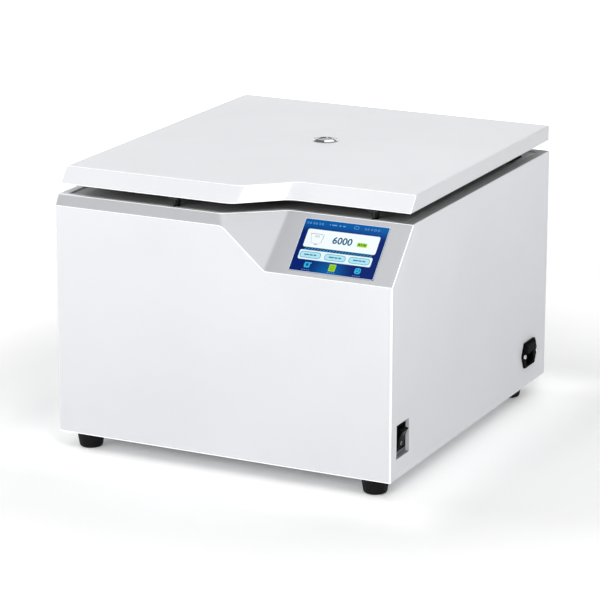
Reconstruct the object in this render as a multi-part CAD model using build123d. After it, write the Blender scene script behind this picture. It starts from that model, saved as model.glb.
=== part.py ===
from build123d import *
import os
from math import atan2, cos, hypot, radians, sin, tan

# Bench centrifuge for microplates. Millimetres, +X to the right, +Y to the rear, +Z up.
# The origin is on the bench, under the middle of the casing.

# ------------------------------------------------------------------ driving sizes
# Fits shared by many pieces
running_fit = 0.05          # radial play of a pin, shaft or bearing
slip_fit = 0.2              # play of a sheet inside a folded casing
open_gap = 0.4              # air between faces that pass each other
contact_gap = 0.3           # a soft seal or stop just short of its partner
overrun = 1.0               # how far a cutting tool runs past what it cuts

# Chamber: bowl, armour ring and the bays around them
bowl_radius = 178.0         # inside of the stainless bowl
bowl_sheet = 1.2
bowl_depth = 172.9          # floor of the bowl to the deck
bowl_corner = 22.0          # inner radius between wall and floor
bowl_lip = 12.0             # lip that hangs on the deck
bowl_hole_radius = 42.0     # hole round the drive hub
bowl_collar = 12.0          # upturned edge round that hole
guard_gap = 2.8
guard_wall = 5.0
guard_window_width = 64.0
guard_window_height = 46.0
guard_windows = 6
side_channel = 37.7         # armour ring to casing side
front_bay = 103.3           # armour ring to casing front
rear_bay = 14.3             # armour ring to rear panel

# Casing
sheet = 1.5                 # folded casing sheet
deck_sheet = 2.0
base_sheet = 2.0
foot_height = 22.0
motor_bay = 126.0           # base plate to bowl floor
casing_flange = 10.0        # folded edge that carries the deck and the rear panel
base_upstand = 14.0
fold_radius = 1.8           # outside radius of a folded edge
hem_radius = 1.2            # outside radius of the lower front edge
rear_screw_low = 40.0       # lowest rear screws above the feet
rear_screw_high = 30.0      # highest rear screws below the deck
band_rise = 13.0            # narrow slope over the left of the front
band_setback = 7.5
panel_drop = 62.0           # sloped control panel on the right
panel_setback = 58.4
facet_foot = 58.9           # where the slanted facet reaches the foot of the panel
facet_slope = 41.2          # its edge on the front face, degrees from level
facet_drift = 4.4           # sideways run of the valley up to the deck
ridge_radius = 20.0
valley_radius = 15.0

# Touch screen and its module
screen_width = 110.0
screen_height = 71.4
screen_thick = 3.0
screen_proud = 0.4
screen_centre_x = 144.3
screen_centre_up = 42.0     # along the panel from its foot
screen_corner = 2.0
module_edge = 2.0
module_depth = 7.0
board_thick = 1.6
control_board_width = 96.0
control_board_height = 58.0
board_standoff = 5.0
control_spacer_inset = 5.0
control_spacer_radius = 2.5
control_chips = (           # right, up, width, height and thickness of each
    (-20.0, 4.0, 16.0, 16.0, 3.0),
    (18.0, 14.0, 26.0, 8.0, 6.0),
    (22.0, -16.0, 18.0, 10.0, 4.0),
)

# Lid
lid_gap = 12.5              # deck edge to lid
lid_height = 19.6
lid_sheet = 1.5
lid_side_inset = 4.0        # lid side inside the casing side
lid_front_inset = 7.7       # lid front edge behind the casing front
lid_front_lean = 16.2       # the front leans back by this over its height
lid_jog = 50.2              # how far the right half of the front steps back
lid_jog_start = 10.8
lid_jog_run = 53.9
lid_jog_drift = 5.0
lid_jog_radius = 24.0
lid_rear_overhang = 7.6
lid_flange = 12.0
lid_rear_land = 80.0        # closed strip over the hinges
lid_plate = 1.5
lid_plate_inset = 7.0
lid_plate_lap = 12.0
lid_edge_radius = 1.5
lid_hem_radius = 0.8        # outside radius of the lid's lower edge
seal_width = 8.0
seal_bulb = 3.0

# Viewing port in the lid
port_bezel_radius = 17.3
port_radius = 8.0
port_tube_wall = 1.6
port_rim_height = 1.0
port_crown = 2.4
port_glass_thick = 3.0
port_glass_drop = 0.6       # glass below the crown
port_rim_flat = 0.6         # upright part of the rim
port_slope_start = 2.2      # in from the outside of the rim
port_crown_width = 1.6

# Hinges
hinge_spacing = 300.0
hinge_width = 60.0
hinge_pin_radius = 2.5
knuckle_wall = 2.3
knuckle_middle = 22.0
hinge_leaf = 2.0
hinge_leaf_down = 50.0
hinge_leaf_in = 38.0
hinge_drop = 6.0            # axis below the underside of the lid
knuckle_root = 3.84         # web under the middle barrel, in front of the axis
leaf_screw_inset = 12.0
leaf_screw_heights = (10.0, 28.0)
lid_opening = 75.0          # degrees

# Gas springs
spring_inset = 33.0         # axis in from the casing side
spring_top_y = 175.0
spring_top_drop = 10.6      # top pivot below the lid
spring_foot_y = 110.0
spring_foot_rise = 38.0     # lower pivot above the base plate
spring_tube_radius = 9.0
spring_tube_wall = 1.5
spring_tube_start = 10.0
spring_tube_length = 165.0
spring_rod_radius = 4.0
spring_neck_radius = 3.2    # between an eye and the tube or rod
spring_neck_start = 4.55    # from the middle of the eye
spring_end_wall = 3.0
spring_rod_inside = 112.0
spring_piston_length = 6.0
spring_eye_radius = 6.5
spring_eye_width = 8.0
spring_stud_radius = 3.0
spring_tab = 3.0
spring_clip = 1.5           # head of the stud in the lid's bracket
spring_clip_rise = 1.2
spring_base_out = 14.0      # foot of the lower bracket beyond its tab
spring_boss = 3.0
spring_boss_radius = 4.8
spring_foot_plate = 2.0
spring_foot_length = 26.0
spring_slot_side = 2.5      # beside the tube in its slot in the deck
spring_slot_end = 5.5       # before and behind it

# Lid locks
striker_x = (-68.1, 171.9)
striker_inset = 13.5        # behind the lid's front edge
striker_rod_radius = 2.0
striker_bend = 3.2          # radius of the loop's corners
striker_half_gap = 5.0
striker_reach = 33.0        # crossbar below the lid plate
striker_foot_length = 20.0
striker_foot_width = 12.0
striker_slot_end = 3.0      # air before and behind the loop in its slot
striker_slot_side = 1.5
lock_front = 9.5
lock_rear = 9.0
lock_wall = 2.0
lock_left = 14.0
lock_play = 1.0             # air beside the hook when it is drawn back
lock_height = 44.0
hook_thick = 4.0
hook_pivot_side = 13.0
hook_pivot_drop = 16.0
hook_boss = 6.0
hook_nose = 4.5
hook_reach = 5.0
hook_pin_radius = 2.5
hook_turn = 30.0            # degrees
hook_chamfer = 1.5
hook_heel = 2.0             # back of the hook below the crossbar's middle
hook_throat = 2.2           # side of the hook beside the crossbar
lock_motor_radius = 7.5
lock_motor_length = 30.0
lock_motor_lift = 4.0       # above the underside of the housing
lock_gear_width = 12.0
lock_gear_lift = 6.0
lock_gear_height = 16.0

# Drive
motor_radius = 62.0
motor_height = 62.0
motor_corner = 6.0
motor_end_cap = 6.0         # under the lower bearing
motor_grooves = (0.3, 0.55, 0.8)    # shares of the motor's height
motor_groove_depth = 2.0
motor_groove_width = 3.0
motor_plate_thick = 8.0
motor_plate_radius = 70.0
motor_plate_drop = 38.0     # top of the plate below the bowl floor
hub_radius = 32.0
hub_height = 28.0
hub_edge = 2.0
hub_cap = 6.0               # over the upper bearing
bearing_radius = 17.0
bearing_height = 12.0
shield_half = 2.0
shield_depth = 0.6
shaft_radius = 10.0
shaft_end_radius = 8.0
shaft_flange_radius = 16.0
shaft_flange_thick = 4.0
shaft_bore_play = 1.0
shaft_chamfer = 1.0
damper_reach = 105.0        # from the chamber's axis
damper_radius = 16.0
damper_waist = 3.0
damper_height = 30.0
damper_land = 4.0           # straight part at each end
post_foot = 4.0
post_cap = 3.0
damper_post_radius = 9.0
damper_lobe = 22.0
boot_wall = 2.5
boot_reach = 20.0           # sleeve below the top of the hub
boot_taper = 4.0            # cone begins below the top of the hub
boot_hub_edge = 1.0
boot_lift = 2.0             # cone ends above the bowl's floor
boot_lip = 2.0              # beyond the bowl's collar

# Swing-out rotor and plate carriers
plate_length = 127.8        # microplate footprint
plate_width = 85.5
plate_play = 0.8
carrier_wall = 2.0
carrier_floor = 3.0
carrier_side = 26.0
carrier_drop = 52.0         # underside below the trunnion
carrier_ear_width = 34.0
carrier_ear_boss = 10.0
carrier_boss_thick = 1.5
carrier_corner = 3.0
carrier_slot_length = 51.3
carrier_slot_width = 14.0
carrier_slot_pitch = 35.5
carrier_notch_length = 44.73
carrier_notch_depth = 10.0
trunnion_reach = 92.0
trunnion_drop = 74.0        # trunnion below the deck
trunnion_radius = 5.0
trunnion_end = 3.0
cheek_gap = 1.6
cheek_thick = 8.0
cheek_height = 24.0
yoke_beam = 44.0
yoke_beam_height = 22.0
yoke_edge = 5.0
yoke_web = 6.0              # cheek left between a pocket and the beam
cheek_pocket_height = 10.08
yoke_hub_radius = 27.0
yoke_hub_height = 46.0
yoke_pocket = 22.0
nut_radius = 16.0
nut_height = 20.0
nut_thread_depth = 8.0
nut_edge = 5.0
nut_grips = 8
nut_grip_radius = 2.2
nut_grip_out = 0.9          # middle of a grip outside the nut

# Power switch on the right side
recess_width = 36.5
recess_height = 42.0
recess_depth = 4.6
recess_y = -212.3
recess_z = 68.4
switch_width = 25.5
switch_height = 31.0
switch_lift = 2.0           # switch above the middle of the recess
switch_bezel = 2.0
switch_corner = 1.5
switch_body_inset = 1.2
switch_body_depth = 20.0
rocker_width = 18.0
rocker_half = 11.6
rocker_axis_depth = 1.0
rocker_crown = 2.4
rocker_tilt = 15.0         # degrees each side of level
rocker_depth = 4.0
rocker_root = 6.96          # half length of its underside
rocker_edge = 1.0           # ends of the wings below the axis
rocker_floor_gap = 1.0
rocker_well = 13.4
rocker_side_gap = 0.5
rocker_pin_radius = 1.2
rocker_pin_end = 1.1        # how far the pivots reach into the switch's body

# Mains inlet with fuse drawer on the right side
inlet_y = 189.0
inlet_z = 66.0
inlet_half_width = 24.75
inlet_half_height = 17.0
inlet_top_half = 17.0
inlet_flange = 2.5
inlet_corner = 2.0
inlet_body_half_width = 16.0
inlet_body_half_height = 15.7
inlet_body_depth = 26.0
socket_half_width = 12.2
socket_height = 15.2
socket_low = -15.0
socket_depth = 16.0
socket_chamfer = 4.0
pin_width = 4.0
pin_thick = 2.0
pin_length = 10.5
pin_spacing = 7.0
pin_low = 2.0               # outer pins below the socket's middle
pin_high = 3.0              # middle pin above it
drawer_half_width = 14.0
drawer_height = 12.6
drawer_low = 1.8
drawer_depth = 20.0
drawer_proud = 3.0
drawer_fit = 0.2
drawer_chamfer = 1.0
drawer_notch_length = 9.8
drawer_notch = 3.0
fuse_radius = 2.8
fuse_spacing = 12.6
inlet_screw_spacing = 40.0
inlet_screw_head = 3.0

# Fan and vents at the rear
fan_size = 80.0
fan_depth = 25.0
fan_x = -150.0
fan_z = 82.0
fan_bore_radius = 38.0
fan_tip_gap = 1.5
fan_hub_radius = 19.0
fan_hub_inset = 1.0         # hub of the wheel smaller than the frame's
fan_blades = 7
fan_blade_thick = 1.6
fan_pitch = 38.0            # degrees
fan_strut = 5.0
fan_corner = 4.0
fan_base = 3.0              # thickness of the struts
fan_axle_radius = 2.0
fan_axle_short = 5.0        # axle below the front of the frame
fan_front_gap = 2.0
fan_blade_short = 3.0       # blades lower than their hub by this
fan_slot_rows = 3           # each side of the middle slot of the grille
vent_slot = 4.0
vent_pitch = 9.0
vent_length = 62.0
vent_count = 8
vent_x = 130.0
base_slot_share = 0.9       # of the motor's width
base_slot_rows = 4          # each side of the middle slot of the base plate

# Feet
foot_top_radius = 17.9
foot_bottom_radius = 14.3
foot_edge = 3.5
foot_front_inset = 25.3
foot_rear_inset = 47.3
foot_side_inset = 30.8
foot_screw_recess = 8.0
foot_recess_radius = 6.0

# Screws
screw_radius = 2.0
screw_head_radius = 4.0
screw_head_height = 2.4
screw_length = 8.0
screw_dome_share = 0.45     # of the head's height
screw_slot_share = 0.22     # of the head's radius
screw_end = 0.75            # thread behind the last sheet
foot_screw_radius = 2.5
foot_screw_head = 5.2
foot_screw_end = 1.0        # thread above its nut
nut_wall = 2.2
nut_thick = 4.0

# Boards, filter and imbalance switch
drive_board_width = 190.0
drive_board_depth = 78.0
drive_board_y = -190.0
drive_board_x = -60.0
drive_standoff = 8.0
drive_spacer_inset = 6.0
drive_spacer_radius = 3.0
capacitor_radius = 8.0
capacitor_height = 30.0
capacitor_places = ((62.0, 14.0), (80.0, 14.0))
drive_blocks = (            # x from and to, y from and to, and height of each
    (52.0, 84.0, -32.0, -20.0, 10.0),
    (-88.0, -70.0, -30.0, 24.0, 12.0),
)
heatsink_length = 110.0
heatsink_depth = 40.0
heatsink_height = 32.0
heatsink_fins = 9
heatsink_base = 4.0
heatsink_shift = -10.0      # from the middle of the board
fin_thick = 1.6
filter_length = 52.0
filter_width = 40.0
filter_height = 30.0
filter_corner = 2.0
filter_gap = 1.5            # to the nut of the rear foot
sensor_width = 20.0
sensor_height = 10.0
sensor_thick = 7.0
sensor_gap = 2.0
sensor_over = 4.0           # above the motor plate
bracket_sheet = 2.0
bracket_foot = 16.0

# ------------------------------------------------------------------ worked-out places
hook_height = hook_pivot_drop + striker_rod_radius + open_gap
hook_swing = hook_boss * cos(radians(hook_turn)) + hook_height * sin(radians(hook_turn))
lock_right = hook_pivot_side + hook_swing + lock_play + lock_wall
guard_inner = bowl_radius + bowl_sheet + guard_gap
guard_outer = guard_inner + guard_wall
half_width = guard_outer + side_channel + sheet
half_depth = (2 * guard_outer + front_bay + rear_bay + 2 * sheet) / 2
chamber_y = half_depth - sheet - rear_bay - guard_outer
inner_half_width = half_width - sheet

base_top = foot_height + base_sheet
bowl_floor = base_top + motor_bay
deck_top = bowl_floor + bowl_depth
casing_top = deck_top + sheet
deck_under = deck_top - deck_sheet
lid_under = casing_top + lid_gap
lid_top = lid_under + lid_height
lid_plate_under = lid_under - lid_plate
lid_half_width = half_width - lid_side_inset
lid_front = -half_depth + lid_front_inset
lid_rear = half_depth + lid_rear_overhang

panel_foot_z = casing_top - panel_drop

knuckle_radius = hinge_pin_radius + knuckle_wall
hinge_y = lid_rear - knuckle_radius
hinge_z = lid_under - hinge_drop
hinge_leaf_low = hinge_z - hinge_leaf_down
spring_x = half_width - spring_inset
spring_top_z = lid_under - spring_top_drop
spring_foot_z = base_top + spring_foot_rise
trunnion_z = deck_top - trunnion_drop
motor_plate_top = bowl_floor - motor_plate_drop
motor_plate_under = motor_plate_top - motor_plate_thick
hub_top = motor_plate_top + hub_height
lower_bearing_z = motor_plate_under - motor_height + motor_end_cap
upper_bearing_z = hub_top - hub_cap - bearing_height
rotor_seat = trunnion_z - yoke_hub_height / 2 - shaft_flange_thick
cheek_inner = plate_length / 2 + plate_play + carrier_wall + cheek_gap
fan_y = half_depth - sheet

# Tests on edges and faces
flat_tolerance = 0.01       # mm
parallel_cosine = 0.999999
smooth_cosine = 0.9999
on_floor = (Align.CENTER, Align.CENTER, Align.MIN)
under_roof = (Align.CENTER, Align.CENTER, Align.MAX)


# ------------------------------------------------------------------ small helpers
def half_space(origin, out):
    """A block so large that it fills everything beyond a plane, on the side that out points to."""
    size = 8 * half_width
    return Plane(origin=origin, z_dir=out) * Box(size, size, size, align=on_floor)


def edges_along(shape, direction):
    """Straight edges of a shape that run along one direction."""
    unit = direction.normalized()
    straight = [e for e in shape.edges() if e.geom_type == GeomType.LINE]
    return ShapeList([e for e in straight if abs((e % 0.5).dot(unit)) > parallel_cosine])


def flat_in(edge, axis, position):
    """True if an edge lies whole in the plane where the axis has this position."""
    box = edge.bounding_box()
    low = (box.min.X, box.min.Y, box.min.Z)[axis]
    high = (box.max.X, box.max.Y, box.max.Z)[axis]
    return abs(low - position) < flat_tolerance and abs(high - position) < flat_tolerance


def disc(radius, z_from, z_to):
    """Upright cylinder about the Z axis between two heights."""
    return Pos(0, 0, z_from) * Cylinder(radius, z_to - z_from, align=on_floor)


def ring(outer, inner, z_from, z_to):
    """Upright tube about the Z axis between two heights."""
    return disc(outer, z_from, z_to) - disc(inner, z_from - overrun, z_to + overrun)


def slab(x_from, x_to, y_from, y_to, z_from, z_to):
    """Block given by its six limits."""
    size = (x_to - x_from, y_to - y_from, z_to - z_from)
    return Pos(x_from, y_from, z_from) * Box(*size, align=(Align.MIN, Align.MIN, Align.MIN))


def rod(start, end, radius):
    """Round bar from one point to another."""
    span = Vector(*end) - Vector(*start)
    bar = Cylinder(radius, span.length, align=on_floor)
    return Plane(origin=start, z_dir=span) * bar


def turned(points):
    """Solid of revolution about the Z axis from a closed outline of radius and height."""
    outline = make_face(Plane.XZ * Polyline(*points, close=True))
    return revolve(outline, Axis.Z)


def round_edges(shape):
    """Circular edges of a shape, from the lowest to the highest."""
    return shape.edges().filter_by(GeomType.CIRCLE).sort_by(Axis.Z)


def both_sides(shape):
    """The shape and its mirror image on the other side of the machine."""
    return [shape, mirror(shape, about=Plane.YZ)]


def side_plane(y, z, depth=0.0):
    """Plane on the right side of the casing: x to the rear, y up, z outwards."""
    return Plane(origin=(half_width - depth, y, z), x_dir=(0, 1, 0), z_dir=(1, 0, 0))


def pan_head_screw(length=screw_length, radius=screw_radius, head=screw_head_radius):
    """Screw along Z: domed head above zero, shank below."""
    dome = disc(head, 0, screw_head_height)
    dome = fillet(round_edges(dome)[-1], screw_head_height * screw_dome_share)
    slot = head * screw_slot_share
    cross = Box(head, slot, screw_head_height) + Box(slot, head, screw_head_height)
    return dome - Pos(0, 0, screw_head_height) * cross + disc(radius, -length, 0)


# ------------------------------------------------------------------ casing
def body_form(inset=0.0):
    """Outer shape of the casing with every wall moved in by inset: a box with a sloped band over
    its front, cut away on the right down to the control panel, with one slanted facet between."""
    front = -half_depth
    outline = Polyline(
        (front, foot_height),
        (front, casing_top - band_rise),
        (front + band_setback, casing_top),
        (half_depth, casing_top),
        (half_depth, foot_height),
        close=True,
    )
    profile = make_face(outline)
    if inset:
        profile = offset(profile, amount=-inset, kind=Kind.INTERSECTION)
    block = extrude(Plane.YZ * profile, amount=half_width - inset, both=True)

    valley = Vector(facet_drift, panel_setback, panel_drop)
    front_edge = Vector(-cos(radians(facet_slope)), 0, sin(radians(facet_slope)))
    facet_out = valley.cross(front_edge).normalized()
    panel_out = Vector(0, -panel_drop, panel_setback).normalized()
    foot = Vector(facet_foot, front, panel_foot_z)
    cut = half_space(foot - facet_out * inset, facet_out) & half_space(foot - panel_out * inset, panel_out)
    form = block - cut

    band_out = Vector(0, -band_rise, band_setback)
    ridge = edges_along(form, facet_out.cross(band_out))
    form = fillet(ridge, ridge_radius - inset)
    form = fillet(edges_along(form, valley), valley_radius + inset)
    return form


def fold_edges(form):
    """Edges of the casing that are folds: all round the front, the sides and the top, but not
    the open bottom and rear."""
    folds = []
    for edge in form.edges():
        on_skin = any(
            (
                flat_in(edge, 0, half_width),
                flat_in(edge, 0, -half_width),
                flat_in(edge, 1, -half_depth),
                flat_in(edge, 2, casing_top),
            )
        )
        is_open = flat_in(edge, 2, foot_height) or flat_in(edge, 1, half_depth)
        if on_skin and not is_open:
            folds.append(edge)
    return ShapeList(folds)


def deck_outline(step_in):
    """Flat outline of the casing's inside, moved in by step_in and raised to the top of the deck."""
    top_face = body_form(sheet + step_in).faces().sort_by(Axis.Z)[-1]
    return Pos(0, 0, step_in) * top_face


def striker_places():
    """Plan position of the two strikers, each just behind the lid's front edge."""
    left, right = striker_x
    return [(left, lid_front + striker_inset), (right, lid_front + lid_jog + striker_inset)]


def striker_slots():
    """Tools that cut the two slots for the strikers through the deck and the casing flange."""
    length = 2 * (striker_half_gap + striker_rod_radius + striker_slot_end)
    slot = SlotOverall(length, 2 * (striker_rod_radius + striker_slot_side))
    tool = extrude(Rot(0, 0, 90) * slot, amount=deck_sheet + 3 * sheet, both=True)
    return [Pos(x, y, deck_top) * tool for x, y in striker_places()]


def panel_plane(x, up, depth=0.0):
    """Plane on the control panel: x to the right, y up the slope, z outwards."""
    out = Vector(0, -panel_drop, panel_setback).normalized()
    along = Vector(0, panel_setback, panel_drop).normalized()
    place = Vector(x, -half_depth, panel_foot_z) + along * up - out * depth
    return Plane(origin=place, x_dir=(1, 0, 0), z_dir=out)


def housing_shell():
    """Folded sheet casing: front, both sides, control panel and the edge round the deck."""
    form = body_form()
    outer = fillet(fold_edges(form), fold_radius)
    hem = [e for e in outer.edges() if flat_in(e, 1, -half_depth) and flat_in(e, 2, foot_height)]
    outer = fillet(hem, hem_radius)
    hollow = body_form(sheet)
    shell = outer - hollow - Pos(0, 0, -sheet) * hollow - Pos(0, sheet, 0) * hollow
    shell -= Pos(0, sheet, -sheet) * hollow
    shell -= extrude(deck_outline(casing_flange), amount=2 * sheet)
    shell -= striker_slots()

    strip = slab(
        inner_half_width - casing_flange,
        inner_half_width,
        half_depth - 2 * sheet,
        half_depth - sheet,
        foot_height,
        deck_under - slip_fit,
    )
    shell += both_sides(strip)
    for x, z in rear_screw_places():
        shell -= Pos(x, half_depth, z) * Rot(90, 0, 0) * Cylinder(screw_radius + running_fit, 8 * sheet)

    screen = panel_plane(screen_centre_x, screen_centre_up)
    shell -= screen * Box(screen_width + 2 * slip_fit, screen_height + 2 * slip_fit, 6 * sheet)

    recess = side_plane(recess_y, recess_z)
    pan = (recess_width + 2 * sheet, recess_height + 2 * sheet, recess_depth + sheet)
    shell += recess * Box(*pan, align=under_roof)
    shell -= recess * Box(recess_width, recess_height, 2 * recess_depth)
    switch = side_plane(recess_y, recess_z + switch_lift)
    cutout = (switch_width - 2 * switch_body_inset, switch_height - 2 * switch_body_inset)
    shell -= switch * Box(cutout[0] + 2 * slip_fit, cutout[1] + 2 * slip_fit, 4 * recess_depth)

    inlet = side_plane(inlet_y, inlet_z)
    hole = (2 * (inlet_body_half_width + slip_fit), 2 * (inlet_body_half_height + slip_fit))
    shell -= inlet * Box(*hole, 4 * sheet)
    screw_hole = Cylinder(screw_radius + running_fit, 4 * sheet)
    for side in (-1, 1):
        shell -= inlet * (Pos(side * inlet_screw_spacing / 2, 0) * screw_hole)
    return shell


def rear_screw_places():
    """Positions of the rear panel's screws, on the casing's folded edge."""
    side = inner_half_width - casing_flange / 2
    middle = (foot_height + deck_top) / 2
    heights = (foot_height + rear_screw_low, middle, deck_top - rear_screw_high)
    return [(x, z) for x in (-side, side) for z in heights]


def rear_panel():
    """Flat rear cover with a fan grille and a row of air slots."""
    panel = slab(
        -inner_half_width + slip_fit,
        inner_half_width - slip_fit,
        half_depth - sheet,
        half_depth,
        foot_height,
        deck_top - slip_fit,
    )
    for row in range(-fan_slot_rows, fan_slot_rows + 1):
        height = row * vent_pitch
        half_chord = (fan_bore_radius ** 2 - height ** 2) ** 0.5 - vent_slot
        slot = Plane.XZ * SlotOverall(2 * half_chord, vent_slot)
        panel -= Pos(fan_x, half_depth + sheet, fan_z + height) * extrude(slot, amount=4 * sheet)
    for row in range(vent_count):
        slot = Plane.XZ * SlotOverall(vent_length, vent_slot)
        height = fan_z + (row - (vent_count - 1) / 2) * vent_pitch
        panel -= Pos(vent_x, half_depth + sheet, height) * extrude(slot, amount=4 * sheet)
    hinge_screw_places = [(x + dx, hinge_leaf_low + dz) for x in hinge_places() for dx, dz in leaf_screws()]
    for x, z in rear_screw_places() + hinge_screw_places:
        panel -= Pos(x, half_depth, z) * Rot(90, 0, 0) * Cylinder(screw_radius + running_fit, 4 * sheet)
    return panel


def base_places():
    """Plan positions of the four feet."""
    side = half_width - foot_side_inset
    front = -half_depth + foot_front_inset
    rear = half_depth - foot_rear_inset
    return [(-side, front), (side, front), (-side, rear), (side, rear)]


def base_plate():
    """Bottom tray with upturned edges, air slots under the motor and holes for the feet."""
    side = inner_half_width - slip_fit
    front = half_depth - sheet - slip_fit
    rear = half_depth - 2 * sheet - slip_fit
    tray = slab(-side, side, -front, rear, foot_height, base_top + base_upstand)
    tray -= slab(
        -side + base_sheet, side - base_sheet, -front + base_sheet, rear - base_sheet, base_top, casing_top
    )
    for x, y in base_places():
        tray -= Pos(x, y, foot_height) * Cylinder(foot_screw_radius + slip_fit, 4 * base_sheet)
    slot = SlotOverall(2 * motor_radius * base_slot_share, vent_slot)
    tool = extrude(slot, amount=3 * base_sheet)
    for row in range(-base_slot_rows, base_slot_rows + 1):
        tray -= Pos(0, chamber_y + row * vent_pitch, foot_height - overrun) * tool
    return tray


def spring_crossing(angle):
    """Where a gas spring's axis passes the deck, with the lid open by this angle."""
    reach = hypot(spring_top_y - hinge_y, spring_top_z - hinge_z)
    start = atan2(spring_top_z - hinge_z, hinge_y - spring_top_y)
    turn = radians(angle) + start
    top_y = hinge_y - reach * cos(turn)
    top_z = hinge_z + reach * sin(turn)
    share = (deck_top - spring_foot_z) / (top_z - spring_foot_z)
    return spring_foot_y + (top_y - spring_foot_y) * share


def spring_slots():
    """Tools that cut the two slots in the deck that the gas springs swing through."""
    crossings = [spring_crossing(lid_opening * step / 10) for step in range(11)]
    y_from = min(crossings) - spring_tube_radius - spring_slot_end
    y_to = max(crossings) + spring_tube_radius + spring_slot_end
    slot = Rot(0, 0, 90) * SlotOverall(y_to - y_from, 2 * (spring_tube_radius + spring_slot_side))
    tool = extrude(slot, amount=4 * deck_sheet, both=True)
    return [Pos(side * spring_x, (y_from + y_to) / 2, deck_top) * tool for side in (-1, 1)]


def top_deck():
    """Deck round the chamber, held under the casing's folded edge."""
    deck = extrude(deck_outline(slip_fit), amount=-deck_sheet)
    centre = Pos(0, chamber_y, 0)
    deck -= centre * disc(bowl_radius + bowl_sheet + slip_fit, deck_under - overrun, deck_top + overrun)
    deck -= spring_slots()
    deck -= striker_slots()
    return deck


def foot():
    """Rubber foot, wider at the top, with a recess for its screw."""
    body = turned(
        [
            (foot_screw_radius + slip_fit, 0),
            (foot_bottom_radius, 0),
            (foot_top_radius, foot_height),
            (foot_screw_radius + slip_fit, foot_height),
        ]
    )
    lowest = body.edges().filter_by(GeomType.CIRCLE).group_by(Axis.Z)[0]
    body = fillet(lowest.sort_by(SortBy.RADIUS)[-1], foot_edge)
    return body - disc(foot_recess_radius, -overrun, foot_screw_recess)


def foot_screw():
    """Screw through a foot, head down in the recess."""
    length = foot_height - foot_screw_recess + base_sheet + nut_thick + foot_screw_end
    screw = pan_head_screw(length, foot_screw_radius, foot_screw_head)
    return Pos(0, 0, foot_screw_recess) * Rot(180, 0, 0) * screw


def hex_nut():
    """Nut on top of the base plate that holds a foot's screw."""
    hexagon = RegularPolygon(foot_screw_radius + nut_wall, 6, major_radius=False)
    blank = Pos(0, 0, base_top) * extrude(hexagon, amount=nut_thick)
    return blank - disc(foot_screw_radius + running_fit, 0, casing_top)


def at_feet(piece):
    """Copies of a piece at the four feet."""
    return [Pos(x, y, 0) * piece for x, y in base_places()]


def rear_screws():
    """Screws round the rear panel."""
    screw = Rot(-90, 0, 0) * pan_head_screw(length=2 * sheet + screw_end)
    return [Pos(x, half_depth, z) * screw for x, z in rear_screw_places()]


# ------------------------------------------------------------------ chamber
def chamber_bowl():
    """Deep-drawn stainless bowl with a lip on the deck and a collar round the drive."""
    outer = disc(bowl_radius + bowl_sheet, bowl_floor - bowl_sheet, deck_top + bowl_sheet)
    outer = fillet(round_edges(outer)[0], bowl_corner + bowl_sheet)
    lip = ring(bowl_radius + bowl_lip, bowl_radius, deck_top, deck_top + bowl_sheet)
    inner = disc(bowl_radius, bowl_floor, casing_top + lid_gap)
    inner = fillet(round_edges(inner)[0], bowl_corner)
    bowl = outer + lip - inner
    collar = (bowl_floor - bowl_sheet, bowl_floor + bowl_collar)
    bowl += ring(bowl_hole_radius + bowl_sheet, bowl_hole_radius, *collar)
    bowl -= disc(bowl_hole_radius, 0, casing_top)
    return Pos(0, chamber_y, 0) * bowl


def guard_ring():
    """Steel armour ring round the bowl, standing on the base plate and carrying the deck."""
    armour = ring(guard_outer, guard_inner, base_top, deck_under)
    half = guard_window_width / 2
    window = slab(guard_inner / 2, 2 * guard_outer, -half, half, 0, guard_window_height)
    for place in PolarLocations(0, guard_windows, start_angle=30):
        armour -= Pos(0, 0, base_top + base_upstand) * place * window
    return Pos(0, chamber_y, 0) * armour


def chamber_seal():
    """Rubber edging on the bowl's lip that the lid plate closes on."""
    low = deck_top + bowl_sheet
    high = lid_plate_under - contact_gap
    middle = bowl_radius + bowl_lip / 2
    seal = ring(middle + seal_width / 2, middle - seal_width / 2, low, high - seal_bulb)
    bulb = Pos(middle, high - seal_bulb) * Circle(seal_bulb)
    seal += revolve(Plane.XZ * bulb, Axis.Z)
    return Pos(0, chamber_y, 0) * seal


# ------------------------------------------------------------------ lid
def lid_cut(step_in, z_from, z_to):
    """Tool that removes everything in front of the lid's leaning, stepped front, moved in by step_in."""
    lean = Vector(lid_jog_drift, lid_front_lean, lid_height)
    far = 2 * half_width
    front = lid_front + step_in
    turn = atan2(lid_jog, lid_jog_run)
    start = lid_jog_start - step_in * tan(turn / 2)
    outline = FilletPolyline(
        (-far, front),
        (start, front),
        (start + lid_jog_run, front + lid_jog),
        (far, front + lid_jog),
        radius=lid_jog_radius,
    )
    closing = Polyline((far, front + lid_jog), (far, -far), (-far, -far), (-far, front))
    face = make_face(outline + closing)
    shift = lean * ((z_from - lid_under) / lid_height)
    travel = lean * ((z_to - z_from) / lid_height)
    return Pos(shift.X, shift.Y, z_from) * extrude(face, amount=travel.length, dir=travel)


def lid_block(step_in, z_from, z_to, rear):
    """Slice of the lid's outer form between two heights, moved in at the front and sides."""
    side = lid_half_width - step_in
    block = slab(-side, side, -half_depth, rear, z_from, z_to)
    return block - lid_cut(step_in, z_from, z_to)


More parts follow.
